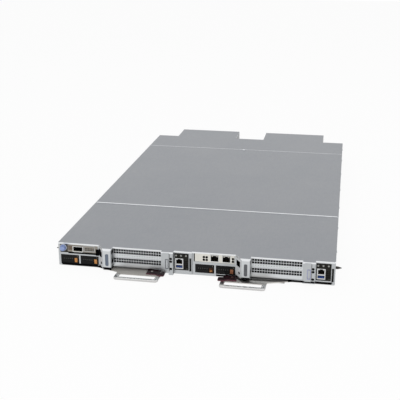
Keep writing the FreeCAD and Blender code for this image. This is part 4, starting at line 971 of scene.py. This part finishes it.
make_seam_hems()
make_screws()
make_brow()
make_rivets()
make_busbar_leaves()
make_drive_latches()
make_carrier_rims()
make_knob()
make_lamp_grid()
make_bracket_seam()
make_port_frames()
make_contacts()
make_usb_tongues()
make_label_inserts()
make_retainer_rims()
make_painted_shade_boxes()
make_left_recess()
make_edge_strips()
make_retainer_seams()
make_hole_shade_rings()
for lever_side, lever_sign in SIDES.items():
    make_lever(lever_side, lever_sign)
    make_release_latch(lever_side, lever_sign)


# Camera, floor and light

def make_camera():
    """The photograph's viewpoint: 10.5 degrees to the right of the front and 18.8 above it."""
    turn, lift = math.radians(10.48), math.radians(18.81)
    back = Vector((math.sin(turn) * math.cos(lift), -math.cos(turn) * math.cos(lift), math.sin(lift)))
    bpy.ops.object.camera_add(location=(0.26611, -1.81436, 0.62372))
    camera = bpy.context.object
    camera.rotation_mode = "QUATERNION"
    camera.rotation_quaternion = (-back).to_track_quat("-Z", "Y")
    camera.data.sensor_width = 36
    camera.data.lens = 71.17
    camera.data.clip_end = 50
    bpy.context.scene.camera = camera


def seen_directly(material):
    """1 for rays from the camera, and for those that metal and glass send on."""
    paths = add_node(material, "LightPath")
    mirrored = add_node(material, "Math", {
        0: (paths, "Is Camera Ray"), 1: (paths, "Is Glossy Ray"),
    }, operation="MAXIMUM")
    return add_node(material, "Math", {
        0: (mirrored, "Value"), 1: (paths, "Is Transmission Ray"),
    }, operation="MAXIMUM")


def make_floor():
    """A white floor that keeps the shadow faintly around the sled; below the sled, and further forward below
    the posts, its colour is painted near black as a painted shadow and its glow fades.
    """
    bpy.ops.mesh.primitive_plane_add(size=12, location=(0, 0, -0.0004))
    floor = bpy.context.object
    floor.name = "floor"
    material = bpy.data.materials.new("white_floor")
    material.use_nodes = True
    tree = material.node_tree
    shader = tree.nodes["Principled BSDF"]
    shader.inputs["Roughness"].default_value = 0.9
    # The painted shadow's edges, each from dark to clear in metres; below the posts it reaches further
    # forward
    side_edge = {1: 0.266, 2: 0.269}
    front_edge = {1: -0.4495, 2: -0.452}
    rear_edge = {1: 0.415, 2: 0.42}
    posts_middle, posts_reach, posts_forward = 0.134, 0.042, 0.009
    glow = add_node(material, "Emission", {"Color": (1, 1, 1, 1), "Strength": 1.0})
    place = add_node(material, "SeparateXYZ", {0: (add_node(material, "TexCoord"), "Object")})
    aside = add_node(material, "Math", {0: (place, "X")}, operation="ABSOLUTE")
    beside = add_node(material, "MapRange", {"Value": (aside, "Value"), **side_edge})
    under_posts = add_node(material, "Math", {
        0: (aside, "Value"), 1: posts_middle, 2: posts_reach,
    }, operation="COMPARE")
    shifted = add_node(material, "Math", {
        0: (under_posts, "Value"), 1: posts_forward, 2: (place, "Y"),
    }, operation="MULTIPLY_ADD")
    before = add_node(material, "MapRange", {"Value": (shifted, "Value"), **front_edge})
    behind = add_node(material, "MapRange", {"Value": (place, "Y"), **rear_edge})
    ahead = add_node(material, "Math", {0: (before, "Result"), 1: (behind, "Result")}, operation="MAXIMUM")
    clear = add_node(material, "Math", {0: (beside, "Result"), 1: (ahead, "Value")}, operation="MAXIMUM")
    # Painted shadow: the floor's colour is near black below the sled
    shade = blend(material, (clear, "Value"), linear("#0C0C0C"), linear("#F4F4F4"))
    tree.links.new(shade.outputs["Result"], shader.inputs["Base Color"])
    open_floor = add_node(material, "Math", {0: (clear, "Value"), 1: 0.93}, operation="MULTIPLY")
    part = add_node(material, "Math", {
        0: (seen_directly(material), "Value"), 1: (open_floor, "Value"),
    }, operation="MULTIPLY")
    blended = add_node(material, "MixShader", {
        0: (part, "Value"), 1: (shader, "BSDF"), 2: (glow, "Emission"),
    })
    tree.links.new(blended.outputs[0], tree.nodes["Material Output"].inputs["Surface"])
    floor.data.materials.append(material)


def make_world():
    """A dim white surround that lights the sled, seen as plain white behind it and in its metal."""
    world = bpy.data.worlds.new("studio")
    bpy.context.scene.world = world
    world.use_nodes = True
    tree = world.node_tree
    base = tree.nodes["Background"]
    base.inputs["Color"].default_value = (1, 1, 1, 1)
    base.inputs["Strength"].default_value = 0.55
    white = add_node(world, "Background", {"Color": (1, 1, 1, 1), "Strength": 1.0})
    blended = add_node(world, "MixShader", {
        0: (seen_directly(world), "Value"), 1: (base, "Background"), 2: (white, "Background"),
    })
    tree.links.new(blended.outputs[0], tree.nodes["World Output"].inputs["Surface"])


def add_softbox(name, place, aim, size, power):
    """A soft rectangular lamp aimed at a place, which metal doesn't mirror."""
    bpy.ops.object.light_add(type="AREA", location=place)
    lamp = bpy.context.object
    lamp.name = name
    lamp.data.shape = "RECTANGLE"
    lamp.data.size, lamp.data.size_y = size
    lamp.data.energy = power
    lamp.visible_glossy = False
    lamp.rotation_mode = "QUATERNION"
    lamp.rotation_quaternion = (Vector(aim) - Vector(place)).to_track_quat("-Z", "Y")


make_camera()
make_floor()
make_world()
add_softbox("front_softbox", (-0.1, -2.6, 1.3), (0, -0.4, 0), (2.0, 1.2), 21)
add_softbox("top_softbox", (0.5, 0.3, 2.6), (0, 0, 0), (2.4, 2.4), 14)
bpy.context.scene.view_settings.view_transform = "Standard"
